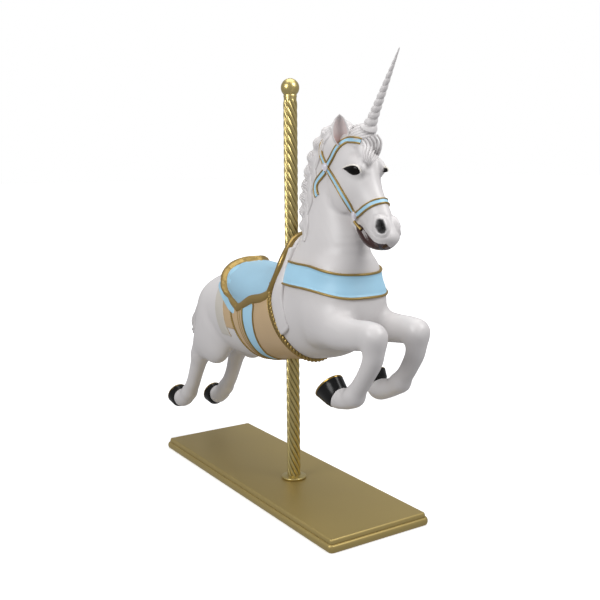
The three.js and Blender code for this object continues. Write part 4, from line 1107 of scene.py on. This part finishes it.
def ear_paint():
    finish = Finish("ear_white_and_pink")
    cloud = finish.noise(25.0, 3.0)
    white = finish.mix_colour(cloud, (0.645, 0.620, 0.615, 1.0), (0.700, 0.678, 0.672, 1.0))
    inner = finish.attribute("inner")
    low = 1 - finish.ease(finish.attribute("rise"), 0.05, 0.62)
    pink = finish.mix_colour(low, (0.66, 0.57, 0.56, 1.0), (0.40, 0.21, 0.18, 1.0))
    colour = finish.mix_colour(inner, white, pink)
    return finish.done({"Base Color": colour, "Roughness": 0.42 + cloud * 0.05})


ear_material = ear_paint()
for ear_name, ear_line in (("near", near_ear_line), ("far", far_ear_line)):
    line = smooth_line(ear_line, 12)
    rows = np.linspace(0, 1, ear_rows)
    centre = np.stack([np.interp(rows, np.linspace(0, 1, len(line)), line[:, n]) for n in range(3)], -1)
    width = np.interp(rows, np.linspace(0, 1, len(ear_width)), ear_width)
    facing = Vector(ear_facing[ear_name]).normalized()
    upright = Vector(line[-1] - line[0]).normalized()
    sideways = np.array(upright.cross(facing).normalized())
    facing = np.array(facing)
    sheets = []
    for wall in (0.0, ear_wall):
        roll = np.linspace(-ear_roll, ear_roll, ear_columns)
        radius = np.maximum(width - wall, 0.0004)[:, None, None]
        circle = np.sin(roll)[None, :, None] * sideways - (0.75 * np.cos(roll))[None, :, None] * facing
        sheets.append(centre[:, None] + radius * circle)
    outer, inner = sheets
    points = np.concatenate([outer.reshape(-1, 3), inner.reshape(-1, 3)])
    sheet_size = ear_rows * ear_columns
    faces = ring_faces(ear_rows, ear_columns, closed=False)
    walls = [faces, faces[:, ::-1] + sheet_size]
    loop = ([(0, c) for c in range(ear_columns)] + [(r, ear_columns - 1) for r in range(1, ear_rows)]
            + [(ear_rows - 1, c) for c in range(ear_columns - 2, -1, -1)]
            + [(r, 0) for r in range(ear_rows - 2, 0, -1)])
    numbers = np.array([r * ear_columns + c for r, c in loop])
    following = np.roll(numbers, -1)
    walls.append(np.stack([following, numbers, numbers + sheet_size, following + sheet_size], -1))
    rise = np.repeat(rows, ear_columns)
    across_share = np.tile(np.abs(np.linspace(-1, 1, ear_columns)), ear_rows)
    inner_share = np.concatenate([np.zeros(sheet_size), np.clip((0.84 - across_share) / 0.22, 0, 1)
                                  * np.clip((0.97 - rise) / 0.20, 0, 1)])
    ear = add_piece("ear_" + ear_name, points, np.concatenate(walls), ear_material,
                    attributes={"inner": inner_share, "rise": np.concatenate([rise, rise])})

# The forelock and the mane: carved locks, cast with the head, each a bundle of strands in waves.
forelock_crown = {
    "top": [(364.5, 123.6), (357.0, 125.6), (351.0, 128.6), (348.0, 133.0), (348.6, 137.4)],
    "bottom": [(376.0, 131.5), (368.8, 135.6), (361.0, 137.8), (353.5, 139.0), (349.4, 138.4)]}
forelock_fall = {
    "left": [(360.5, 138.6), (363.8, 143.0), (365.0, 148.0), (363.6, 154.0), (365.0, 160.2), (369.5, 164.2)],
    "right": [(377.0, 134.5), (380.8, 141.0), (380.2, 148.5), (377.8, 155.0), (374.2, 159.6), (370.6, 164.2)]}
strand_depth = 0.0015


def bundle(first, last, count, forms, lift):
    """Lines on the skin that run from one line of pixels over to another."""
    first_line, last_line = (smooth_line([(*spot, 0) for spot in line], 6)[:, :2] for line in (first, last))
    lines = []
    for share in np.linspace(0, 1, count):
        spots = on_skin(first_line * (1 - share) + last_line * share, forms)
        lines.append(spots + slope_at(spots, forms) * lift)
    return lines


def tapering(lines, thickest):
    """Radii that swell from both ends of each line."""
    return [thickest * (0.30 + 0.70 * np.sin(np.linspace(0.25, math.pi - 0.12, len(line))) ** 0.7)
            for line in lines]


hair_skin = [*head_skin, *lumps(mane_lumps, .009)]
crown_lines = bundle(forelock_crown["top"], forelock_crown["bottom"], 6, hair_skin, -2 * strand_depth)
fall_lines = bundle(forelock_fall["left"], forelock_fall["right"], 6, hair_skin, 0.0)
add_tubes("forelock_crown", crown_lines, tapering(crown_lines, 0.0080), satin_white)
add_tubes("forelock_fall", fall_lines, tapering(fall_lines, 0.0050), satin_white)

mane_strands = 5
mane_lock_length = 0.115
mane_lock_drop = 0.080


def mane_lines(side):
    """Strands that leave the crest and curl down over one side of the neck, lock by lock."""
    crest = smooth_line([spot[:3] for spot in mane_crest], 8)
    arc = np.concatenate([[0], np.cumsum(np.linalg.norm(np.diff(crest, axis=0), axis=1))])
    bases = []
    ways = []
    for lock, start in enumerate(np.linspace(0.0, arc[-1] - 0.10, 9)):
        for strand in range(mane_strands):
            share = np.linspace(0, 1, 16)
            sweep = start + strand * 0.010 + mane_lock_length * share ** 1.3
            forward = (0.004 + strand * 0.006) + (mane_lock_drop * (0.75 + 0.25 * (lock % 2))
                                                  * np.sin(share * 2.2) * (1 - 0.42 * share))
            forward = forward + 0.007 * np.sin(share * 6.0 + lock)
            base = np.stack([np.interp(sweep, arc, crest[:, n]) for n in range(3)], -1)
            base[:, 0] += forward - 0.020
            base[:, 1] = side * 0.09
            inward = np.zeros_like(base)
            inward[:, 1] = -side
            bases.append(base)
            ways.append(inward)
    hits = first_hit(np.concatenate(bases), np.concatenate(ways), hair_skin, 0.0, 0.15)
    return list(hits.reshape(len(bases), -1, 3))


for side_name, side in (("right", -1), ("left", 1)):
    lines = mane_lines(side)
    add_tubes("mane_" + side_name, lines, tapering(lines, 0.0062), satin_white, 10.0)

# The tail: a stub cast on the rump and carved in a few wavy locks that end in a curled tuft.
tail_locks = [(0.3, 0.020), (1.3, 0.017), (2.4, 0.020), (3.5, 0.018), (4.6, 0.021), (5.6, 0.017)]
tail_lock_length = 1.06
tail_wave = 0.007


def tail_lines():
    """Locks that run down the tail stub, a little apart at its end."""
    centre = smooth_line([station[:3] for station in tail], 8)
    share = np.linspace(0.10, 1, 26)
    knots = np.linspace(0, 1, len(centre))
    spine = np.stack([np.interp(share, knots, centre[:, n]) for n in range(3)], -1)
    along = np.gradient(spine, axis=0)
    along /= np.linalg.norm(along, axis=1, keepdims=True)
    across = np.array([0, 1.0, 0])
    upward = np.cross(along, across)
    lines = []
    for turn, radius in tail_locks:
        swing = (turn + 0.5 * np.sin(share * 7 + turn))[:, None]
        reach = (radius + tail_wave * np.sin(share * 9 + 2 * turn))[:, None]
        line = spine + reach * (np.cos(swing) * across + np.sin(swing) * upward)
        tip = line[-1] + along[-1] * 0.026 + upward[-1] * 0.012 * math.cos(turn)
        lines.append(np.concatenate([line, line[-1:] * 0.4 + tip * 0.6, [tip]]))
    return lines


locks = tail_lines()
add_tubes("tail_locks", locks, tapering(locks, 0.0115), satin_white, 12.0)

# The girth and the blanket: cloth moulded 5 mm proud in the casting, in panels painted tan, light blue
# and off-white with gold piping between. They lie in planes that lean back at the top.
girth_lean = math.radians(24)
girth_across = np.array([math.cos(girth_lean), 0, math.sin(girth_lean)])
girth_up = np.array([-math.sin(girth_lean), 0, math.cos(girth_lean)])
cloth_thickness = 0.0050
shell_sink = 0.0040
# How far down the side each station's line starts, hidden by the saddle or the flap
line_starts = [(-.046, 42), (.020, 55), (.100, 68), (.184, 74), (.272, 64), (.368, 48)]
# Each line across the girth is given by its station at the side and its station under the belly
girth_panels = [("girth_front_tan", (0.368, 0.368), (0.272, 0.183), "tan"),
                ("girth_blue", (0.268, 0.179), (0.186, 0.135), "blue"),
                ("girth_rear_tan", (0.182, 0.131), (0.096, 0.096), "tan")]
blanket_panels = [("blanket_tan", 0.080, 0.024, 0.625, "tan"), ("blanket_white", 0.022, -0.046, 0.588, "white")]
girth_side_angle = math.radians(75)
girth_belly_angle = math.radians(150)
tack_gold_tone = (0.37, 0.255, 0.085)
sky_blue_tone = (0.385, 0.660, 0.840)
tan_tone = (0.56, 0.400, 0.225)
off_white_tone = (0.578, 0.546, 0.485)


def painted(name, tone, trim_width=0.0, roughness=0.42):
    """Satin paint of one tone, with gold where a moulded edge is nearer than the trim's width."""
    finish = Finish(name)
    cloud = finish.noise(9.0, 3.0)
    grain = finish.noise(260.0, 2.0)
    plain = finish.mix_colour(cloud, shaded(tone, 0.93), shaded(tone, 1.05))
    trim = 1 - finish.ease(finish.attribute("edge"), trim_width - 0.0007, trim_width + 0.0007)
    gold = finish.mix_colour(cloud, shaded(tack_gold_tone, 0.85), shaded(tack_gold_tone, 1.15))
    colour = finish.mix_colour(trim, plain, gold)
    return finish.done({"Base Color": colour, "Roughness": roughness + cloud * 0.06, "Metallic": trim * 0.75,
                        "Normal": finish.bump(grain, 0.10, 0.0004)})


def gold_paint():
    finish = Finish("tack_gold")
    cloud = finish.noise(22.0, 3.0)
    colour = finish.mix_colour(cloud, shaded(tack_gold_tone, 0.82), shaded(tack_gold_tone, 1.18))
    return finish.done({"Base Color": colour, "Roughness": 0.28 + cloud * 0.08, "Metallic": 0.85})


def torso_hits(centres, outward):
    """Where rays that come straight in towards centres meet the trunk or the seat."""
    flat = outward.reshape(-1, 3)
    start = np.broadcast_to(centres, outward.shape).reshape(-1, 3) + flat * ray_reach
    return first_hit(start, -flat, torso_skin, 0.0, ray_reach).reshape(outward.shape)


def girth_spots(stations, angles):
    """Points of the skin in planes across the girth, at angles from the top down by the right side."""
    stations, angles = np.broadcast_arrays(stations, angles)
    along = barrel_line @ girth_across
    centres = np.stack([np.interp(stations, along, barrel_line[:, n]) for n in range(3)], -1)
    outward = np.cos(angles)[..., None] * girth_up - np.sin(angles)[..., None] * np.array([0, 1.0, 0])
    return torso_hits(centres, outward)


def start_angle(stations):
    return np.radians(np.interp(stations, *np.array(line_starts).T))


def girth_line(line, count=130):
    """Stations and angles of a line from the saddle down the right side and up the left side."""
    start = start_angle(line[0])
    angles = np.linspace(start, 2 * math.pi - start, count)
    low = np.minimum(angles, 2 * math.pi - angles)
    return np.array([np.interp(low, [girth_side_angle, girth_belly_angle], line), angles])


def facing_out(points, faces):
    """The faces of a closed shell, turned over if they face inwards."""
    spots = points - points.mean(0)
    volume = 0.0
    for size in {len(face) for face in faces}:
        corners = spots[np.array([face for face in faces if len(face) == size])]
        for second in range(1, size - 1):
            volume += np.einsum("ij,ij->", corners[:, 0], np.cross(corners[:, second], corners[:, second + 1]))
    return faces if volume > 0 else [face[::-1] for face in faces]


def across_grid(grid, shares):
    """Points between the columns of a grid, at a share of its width for each row."""
    place = np.clip(shares, 0, 1) * (len(grid) - 1)
    low = np.minimum(place.astype(int), len(grid) - 2)
    rows = np.arange(grid.shape[1])
    rest = (place - low)[:, None]
    return grid[low, rows] * (1 - rest) + grid[low + 1, rows] * rest


def moulded(name, grid, insets, height_at, forms, material, slot, free_ends=(False, False), inner=7):
    """A closed shell on a patch of skin. Its height follows the distance from the patch's outline.
    The grid holds columns across the patch and rows along it."""
    columns, rows, _ = grid.shape
    normals = slope_at(grid.reshape(-1, 3), forms).reshape(grid.shape)
    widths = np.linalg.norm(np.diff(grid, axis=0), axis=2).sum(0)
    widths = np.maximum(widths, 1e-5)
    edge_shares = [np.minimum(inset / widths, 0.47 * (n + 1) / len(insets)) for n, inset in enumerate(insets)]
    last = edge_shares[-1]
    middle_shares = [last + (1 - 2 * last) * share for share in np.linspace(0, 1, inner + 2)[1:-1]]
    top_shares = [*edge_shares, *middle_shares, *[1 - share for share in edge_shares[::-1]]]
    shares = [*top_shares, 1 - edge_shares[0], *middle_shares[::-1], edge_shares[0]]
    spots = np.stack([across_grid(grid, share) for share in shares])
    lifts = np.stack([across_grid(normals, share) for share in shares])
    outline = [line[:-1] + (line[1:] - line[:-1]) * share for line in (grid[0], grid[-1]) for share in (0, .33, .67)]
    outline += [grid[0, -1:], grid[-1, -1:]]
    outline += [across_grid(grid, np.full(rows, share))[row:row + 1] if row == 0 else
                across_grid(grid, np.full(rows, share))[-1:]
                for free, row in zip(free_ends, (0, -1)) if free for share in np.linspace(0, 1, 40)]
    outline = np.concatenate(outline)
    flat = spots.reshape(-1, 3)
    edge = np.array([np.sqrt(((outline - spot) ** 2).sum(1).min()) for spot in flat])
    height = height_at(edge, flat).reshape(len(shares), rows)
    height[len(top_shares):] = -shell_sink
    points = spots + lifts * height[..., None]
    rings = list(points.transpose(1, 0, 2))
    made, faces = capped_rings(rings)
    faces = facing_out(made, faces)
    edge = edge.reshape(len(shares), rows).T.reshape(-1)
    return add_piece(name, made, faces, material, attributes={"edge": edge})


def both_moulded(name, grid, *rest, **more):
    """The same shell on the right side and on the left."""
    moulded(name + "_right", grid, *rest, **more)
    moulded(name + "_left", grid * (1, -1, 1), *rest, **more)


def rounded_slab(thickness):
    """Heights of a slab whose rim is rounded over."""
    return lambda edge, spots: thickness * np.sqrt(1 - (1 - np.clip(0.15 + edge / thickness * 0.85, 0, 1)) ** 2)


def twisted_rope_tree(material):
    """Sweeps a lobed section along a line and turns it as it goes."""
    tree = geometry_tree("twisted_rope", ["Radius", "Pitch", "Strands", "Groove"])
    line = tree.node("GeometryNodeMeshToCurve", sockets={"Mesh": tree.entry})
    fine = tree.node("GeometryNodeResampleCurve", {"mode": "LENGTH"},
                     {"Curve": line, "Length": tree.entry.output("Radius") * 0.30})
    along = tree.node("GeometryNodeSplineParameter", output="Length")
    tilted = tree.node("GeometryNodeSetCurveTilt", sockets={
        "Curve": fine, "Tilt": along * 2 * math.pi / tree.entry.output("Pitch")})
    ring = tree.node("GeometryNodeCurvePrimitiveCircle", {"mode": "RADIUS"}, {"Resolution": 24, "Radius": 1.0})
    place = tree.node("GeometryNodeInputPosition")
    parts = tree.node("ShaderNodeSeparateXYZ", sockets={0: place})
    angle = tree.math("ARCTAN2", parts.output("Y"), parts)
    lobe = abs(tree.math("COSINE", angle * tree.entry.output("Strands") * 0.5))
    size = (1 - tree.entry.output("Groove") * (1 - lobe)) * tree.entry.output("Radius")
    scaled = tree.node("ShaderNodeVectorMath", {"operation": "SCALE"}, {0: place, "Scale": size})
    section = tree.node("GeometryNodeSetPosition", sockets={"Geometry": ring, "Position": scaled})
    rope = tree.node("GeometryNodeCurveToMesh", sockets={"Curve": tilted, "Profile Curve": section,
                                                         "Fill Caps": True})
    close_tree(tree, rope, material)
    return tree


ray_reach = 0.32
torso_skin = [*trunk[:4 + 2 * len(paired_muscles)], limb(seat, .010, 4)]
barrel_line = smooth_line(barrel, 4)[:, :3]
sky_blue = painted("sky_blue_cloth", sky_blue_tone)
cloth_paints = {"tan": (painted("tan_cloth", tan_tone), "tan_paint"), "blue": (sky_blue, "sky_blue_paint"),
                "white": (painted("off_white_cloth", off_white_tone), "white_paint")}
tack_gold = gold_paint()
cloth_insets = [0.0, 0.0006, 0.0016, 0.0030, 0.0050]
for name, front, rear, paint in girth_panels:
    stations, angles = np.linspace(girth_line(front), girth_line(rear), 9).transpose(1, 0, 2)
    grid = girth_spots(stations, angles)
    moulded(name, grid, cloth_insets, rounded_slab(cloth_thickness), torso_skin, *cloth_paints[paint])
for name, front, rear, lower_edge, paint in blanket_panels:
    stations = np.linspace(front, rear, 9)[:, None]
    start = start_angle(stations)
    trial = np.linspace(0.25 * math.pi, 0.8 * math.pi, 90)
    heights = girth_spots(stations, trial[None])[..., 2]
    ends = np.array([np.interp(-lower_edge, -row, trial) for row in heights])[:, None]
    run = np.concatenate([np.linspace(0, 0.97, 56), [.98, .987, .993, .997, 1.0]])
    grid = girth_spots(stations, start + (ends - start) * run)
    both_moulded(name, grid, cloth_insets, rounded_slab(cloth_thickness), torso_skin, *cloth_paints[paint],
                 free_ends=(False, True))

# Piping, ribs and ropes: round cords moulded on the girth's edges and picked out in gold.
girth_cords = [((0.270, 0.181), 0.0034, 0.0050), ((0.184, 0.133), 0.0034, 0.0050),
               ((0.3685, 0.3685), 0.0024, 0.0045), ((0.163, 0.122), 0.0014, 0.0050),
               ((0.147, 0.113), 0.0014, 0.0050)]
cord_lines = []
cord_sizes = []
for stations, radius, lift in girth_cords:
    line = girth_spots(*girth_line(stations))
    cord_lines.append(line + slope_at(line, torso_skin) * lift)
    cord_sizes.append(np.full(len(line), radius))
add_tubes("girth_cords", cord_lines, cord_sizes, tack_gold, 12.0)
girth_ropes = [("girth_rope", 0.388, 0.0100, 0.030, 2.0), ("blanket_rope", 0.0875, 0.0050, 0.016, 2.0)]
for name, station, radius, pitch, strands in girth_ropes:
    line = girth_spots(*girth_line((station, station), 220))
    line = line + slope_at(line, torso_skin) * radius * 0.40
    grown(name, twisted_rope_tree(tack_gold), {"Radius": radius, "Pitch": pitch, "Strands": strands,
                                               "Groove": 0.30}, polyline_mesh([line], [np.ones(220)]))

# The saddle: a domed seat with a broad gold rim, moulded with the casting over a light-blue pad.
# Each outline holds angles down from the top, in degrees, and how far forward the edge lies.
saddle_axis_height = 0.68
# The seat's blue is the sky blue darkened to about 0.82, painted shade that holds the seat's top down under the
# overhead light.
seat_blue_painted_shade_tone = (0.330, 0.540, 0.680)
saddle_rear = [(0, -.262), (10, -.288), (18, -.316), (28, -.334), (40, -.324), (54, -.290), (67, -.246),
               (76, -.206), (82, -.164)]
saddle_front = [(0, .095), (22, .094), (42, .086), (54, .062), (61, .020), (66, -.045), (72, -.088),
                (77, -.118), (80, -.136), (82, -.152)]
saddle_thickness = 0.0070
saddle_trim = 0.0320
saddle_bead = 0.0060
cantle_start = -0.16
cantle_bead = 0.0150
pad_rear = [(0, -.345), (12, -.385), (25, -.412), (38, -.415), (50, -.398), (62, -.350), (74, -.285),
            (84, -.225), (87, -.190)]
pad_front = [(0, -.24), (40, -.24), (74, -.19), (84, -.180), (87, -.186)]


def saddle_grid(rear, front, columns=15, rows=201):
    """Skin points between a rear and a front outline, from low on the right over the top to the left."""
    rear_line, front_line = (smooth_line([(*spot, 0) for spot in outline], 8)[:, :2] for outline in (rear, front))
    top = min(rear_line[-1, 0], front_line[-1, 0])
    angles = np.linspace(-top, top, rows)
    angles = np.sign(angles) * top * (1 - (1 - np.abs(angles) / top) ** 1.35)
    start = np.interp(np.abs(angles), rear_line[:, 0], rear_line[:, 1])
    end = np.interp(np.abs(angles), front_line[:, 0], front_line[:, 1])
    shares = np.linspace(0, 1, columns)[:, None]
    forward = start * (1 - shares) + end * shares
    turned_down = np.broadcast_to(np.radians(angles), forward.shape)
    centres = np.stack([forward, np.zeros_like(forward), np.full_like(forward, saddle_axis_height)], -1)
    outward = np.stack([np.zeros_like(forward), np.sin(turned_down), np.cos(turned_down)], -1)
    return torso_hits(centres, outward)


def saddle_height(edge, spots):
    """A broad round bead along the rim, highest round the cantle, and a shallow groove inside it."""
    rounded = np.sqrt(1 - (1 - np.clip(0.10 + edge / saddle_thickness * 0.9, 0, 1)) ** 2)
    groove = np.exp(-((edge - saddle_trim) / 0.0022) ** 2)
    bead = np.sin(math.pi * np.clip(edge / saddle_trim, 0, 1))
    cantle = np.clip((cantle_start - spots[:, 0]) / 0.12, 0, 1) ** 0.7
    cantle *= 1 - 0.85 * np.clip((spots[:, 1] - 0.01) / 0.08, 0, 1)
    return saddle_thickness * rounded + (saddle_bead + cantle_bead * cantle) * bead - 0.0015 * groove


saddle_insets = [0.0, 0.0008, 0.0022, 0.0045, 0.008, 0.012, 0.018, 0.0240, 0.0280, 0.0310, 0.0325, 0.0350,
                 0.038, 0.044, 0.052, 0.062]
moulded("saddle_pad", saddle_grid(pad_rear, pad_front), cloth_insets, rounded_slab(cloth_thickness + 0.002),
        torso_skin, sky_blue, "sky_blue_paint")
# The seat takes the darkened copy of the sky blue, painted shade over the same paint as the pad and the straps.
moulded("saddle", saddle_grid(saddle_rear, saddle_front), saddle_insets, saddle_height, torso_skin,
        painted("saddle_blue_and_gold", seat_blue_painted_shade_tone, saddle_trim), "sky_blue_paint", inner=14)

# The pommel: a gold roll round the saddle's front, with a white wall before it and a flap each side.
pommel_roll = [(.062, .134, .806), (.100, .126, .872), (.113, .113, .918), (.110, .088, .957),
               (.092, .048, .992), (.072, 0, 1.006)]
pommel_roll_radius = 0.0130
pommel_wall_shift = (.022, -.008)
flap_line = [(.127, .084, .960, .008, .011), (.130, .108, .905, .009, .015), (.126, .133, .835, .010, .028),
             (.122, .140, .770, .011, .040), (.142, .139, .710, .011, .040), (.163, .135, .674, .008, .032)]
pommel_low = (0.02, -0.176, 0.640)
pommel_high = (0.22, 0.176, 1.040)
pommel_step = 0.0045
roll_half = smooth_line(pommel_roll, 8)
roll_line = np.concatenate([roll_half * (1, -1, 1), roll_half[-2::-1]])
add_tubes("pommel_roll", [roll_line], [np.full(len(roll_line), pommel_roll_radius)], tack_gold, 20.0)
wall_stations = [(x + pommel_wall_shift[0], side * y * .90, z + pommel_wall_shift[1], .010, .010)
                 for side, half in ((-1, pommel_roll[1:]), (1, pommel_roll[-2:0:-1])) for x, y, z in half]
pommel_forms = [limb(wall_stations, .014)]
for side in (-1, 1):
    pommel_forms.append(limb([(x, side * y, z, wide, deep) for x, y, z, wide, deep in flap_line], .010))
wall_points, wall_faces = netted(sampled_field(pommel_forms, pommel_low, pommel_high, pommel_step),
                                 pommel_low, pommel_step)
wall_points = settled(wall_points, pommel_forms)
add_piece("pommel_wall_and_flaps", wall_points, wall_faces, satin_white)

# The breast band: a flat light-blue strap with gold piping, moulded round the chest to the flaps.
band_axis = 0.20
band_height = 0.880
band_drop = 0.020
band_half_width = 0.042
band_trim = 0.0085


def piped(height, bead_width):
    """Heights of a strap with a round bead along each edge."""
    def height_at(edge, spots):
        bead = np.sqrt(np.clip(1 - (np.clip(edge, 0, bead_width) / bead_width * 2 - 1) ** 2, 0, 1))
        flat = height * 0.62
        return np.where(edge < bead_width, np.maximum(flat * 0.8, flat * 0.75 + height * 0.55 * bead), flat)
    return height_at


def softened(grid, rounds=14):
    """The grid's rows evened out along its run."""
    for _ in range(rounds):
        grid[:, 1:-1] = grid[:, 1:-1] * 0.5 + (grid[:, 2:] + grid[:, :-2]) * 0.25
    return grid


def piping_insets(width):
    return [0.0, *(width * share for share in (0.04, 0.15, 0.32, 0.5, 0.68, 0.85, 0.97, 1.03))]


swing = np.radians(np.linspace(-128, 128, 130))
outward = np.stack([np.cos(swing), np.sin(swing), np.zeros(130)], -1)
level = band_height + np.linspace(1, -1, 9)[:, None] * band_half_width
trial = torso_hits(np.array([band_axis, 0, band_height]), outward)
drop = band_drop * np.clip((trial[:, 0] - 0.29) / 0.15, 0, 1) ** 2
centres = np.stack([np.full((9, 130), band_axis), np.zeros((9, 130)), level - drop], -1)
grid = torso_hits(centres, np.broadcast_to(outward, centres.shape))
moulded("breast_band", softened(grid), piping_insets(band_trim), piped(0.0115, band_trim), torso_skin,
        painted("strap_blue_and_gold", sky_blue_tone, band_trim), "sky_blue_paint")

# The bridle: straps moulded on the head, light blue between two round gold edges, with a pale boss
# where they cross at the cheek and at the mouth's corner, and a gold bit.
strap_width = 0.0225
strap_trim = 0.0060
cheek_pixels = [(326.5, 166.8), (334.7, 180.6), (342.9, 194.9), (351.0, 208.2), (355.1, 214.3)]
crown_pixels = [(326.5, 166.8), (324.0, 161.2), (321.9, 155.1), (321.6, 149.0), (323.0, 143.9), (324.5, 140.3)]
throat_pixels = [(325.0, 171.4), (320.9, 176.5), (317.3, 181.6), (315.8, 186.7), (316.3, 192.9), (317.3, 195.9)]
brow_pixels = [(326.5, 166.8), (331.6, 158.2), (335.7, 150.0), (340.8, 143.9), (345.9, 140.8), (351.0, 139.7),
               (356.6, 140.0), (361.0, 141.4)]
hidden_brow_points = 36
nose_pixels = [(355.6, 215.8), (360.2, 212.2), (366.3, 207.1), (373.5, 203.1), (381.6, 201.0)]
boss_pixels = {"cheek_boss": (326.5, 166.8), "bit_boss": (355.4, 215.0)}
boss_radius = 0.0140
bit_pixels = [(355.0, 221.5), (358.2, 226.0), (361.6, 229.8)]
bit_radius = 0.0048


def strap_grid(line, width, forms, columns=7):
    """Skin points across a strap that runs along a line on the skin."""
    line = settled(line, forms)
    along = np.gradient(line, axis=0)
    across = np.cross(along, slope_at(line, forms))
    across /= np.linalg.norm(across, axis=1, keepdims=True)
    offsets = np.linspace(-width / 2, width / 2, columns)[:, None, None]
    return settled((line + across * offsets).reshape(-1, 3), forms).reshape(columns, len(line), 3)


def over_the_middle(line):
    """A line on the right side carried over the middle plane and down the left side alike."""
    near = line[line[:, 1] < -0.004]
    joined = np.concatenate([near, near[::-1] * (1, -1, 1)])
    arc = np.concatenate([[0], np.cumsum(np.linalg.norm(np.diff(joined, axis=0), axis=1))])
    even = np.linspace(0, arc[-1], 80)
    return np.stack([np.interp(even, arc, joined[:, n]) for n in range(3)], -1)


def pixel_line(pixels, forms=head_skin, steps=8):
    flat = smooth_line([(*spot, 0) for spot in pixels], steps)[:, :2]
    return on_skin(flat, forms)


strap_paint = painted("bridle_blue_and_gold", sky_blue_tone, strap_trim)
strap_shape = (piping_insets(strap_trim), piped(0.0062, strap_trim), head_skin, strap_paint, "sky_blue_paint")
for name, pixels, forms in (("cheek_strap", cheek_pixels, head_skin), ("crown_strap", crown_pixels, hair_skin),
                            ("throat_latch", throat_pixels, hair_skin)):
    both_moulded(name, strap_grid(pixel_line(pixels, forms), strap_width, forms), *strap_shape, inner=3)
brow_line = pixel_line(brow_pixels)
for name, side, line in (("browband_right", 1, brow_line), ("browband_left", -1, brow_line[:hidden_brow_points])):
    moulded(name, strap_grid(line, strap_width, head_skin) * (1, side, 1), *strap_shape, inner=3)
nose_line = over_the_middle(pixel_line(nose_pixels))
moulded("noseband", strap_grid(nose_line, strap_width, head_skin), *strap_shape, inner=3)


def pale_enamel():
    finish = Finish("boss_enamel")
    cloud = finish.noise(60.0, 2.0)
    colour = finish.mix_colour(cloud, (0.70, 0.68, 0.76, 1.0), (0.80, 0.78, 0.84, 1.0))
    return finish.done({"Base Color": colour, "Roughness": 0.26 + cloud * 0.06, "Coat Weight": 0.4})


enamel = pale_enamel()
boss_profile = [(1.0, -0.35), (1.0, 0.55), (0.93, 0.68), (0.84, 0.66), (0.76, 0.56), (0.60, 0.70), (0.35, 0.82),
                (0.05, 0.86)]
for name, pixel in boss_pixels.items():
    place = on_skin([pixel], head_skin)[0]
    side, up, normal = local_axes(place, head_skin)
    angles = np.linspace(0, 2 * math.pi, 40, endpoint=False)[:, None]
    rings = [place + boss_radius * (width * (np.cos(angles) * side + np.sin(angles) * up) + lift * normal)
             for width, lift in boss_profile]
    for side_name, flip in (("right", 1), ("left", -1)):
        points, faces = capped_rings([ring * (1, flip, 1) for ring in rings])
        add_piece(name + "_" + side_name, points, facing_out(points, faces), enamel,
                  math.radians(40))
bit_line = pixel_line(bit_pixels)
bit_line = bit_line + slope_at(bit_line, head_skin) * bit_radius * 0.7
for side_name, flip in (("right", 1), ("left", -1)):
    add_tubes("bit_" + side_name, [bit_line * (1, flip, 1)], [np.full(len(bit_line), bit_radius)], tack_gold,
              16.0)
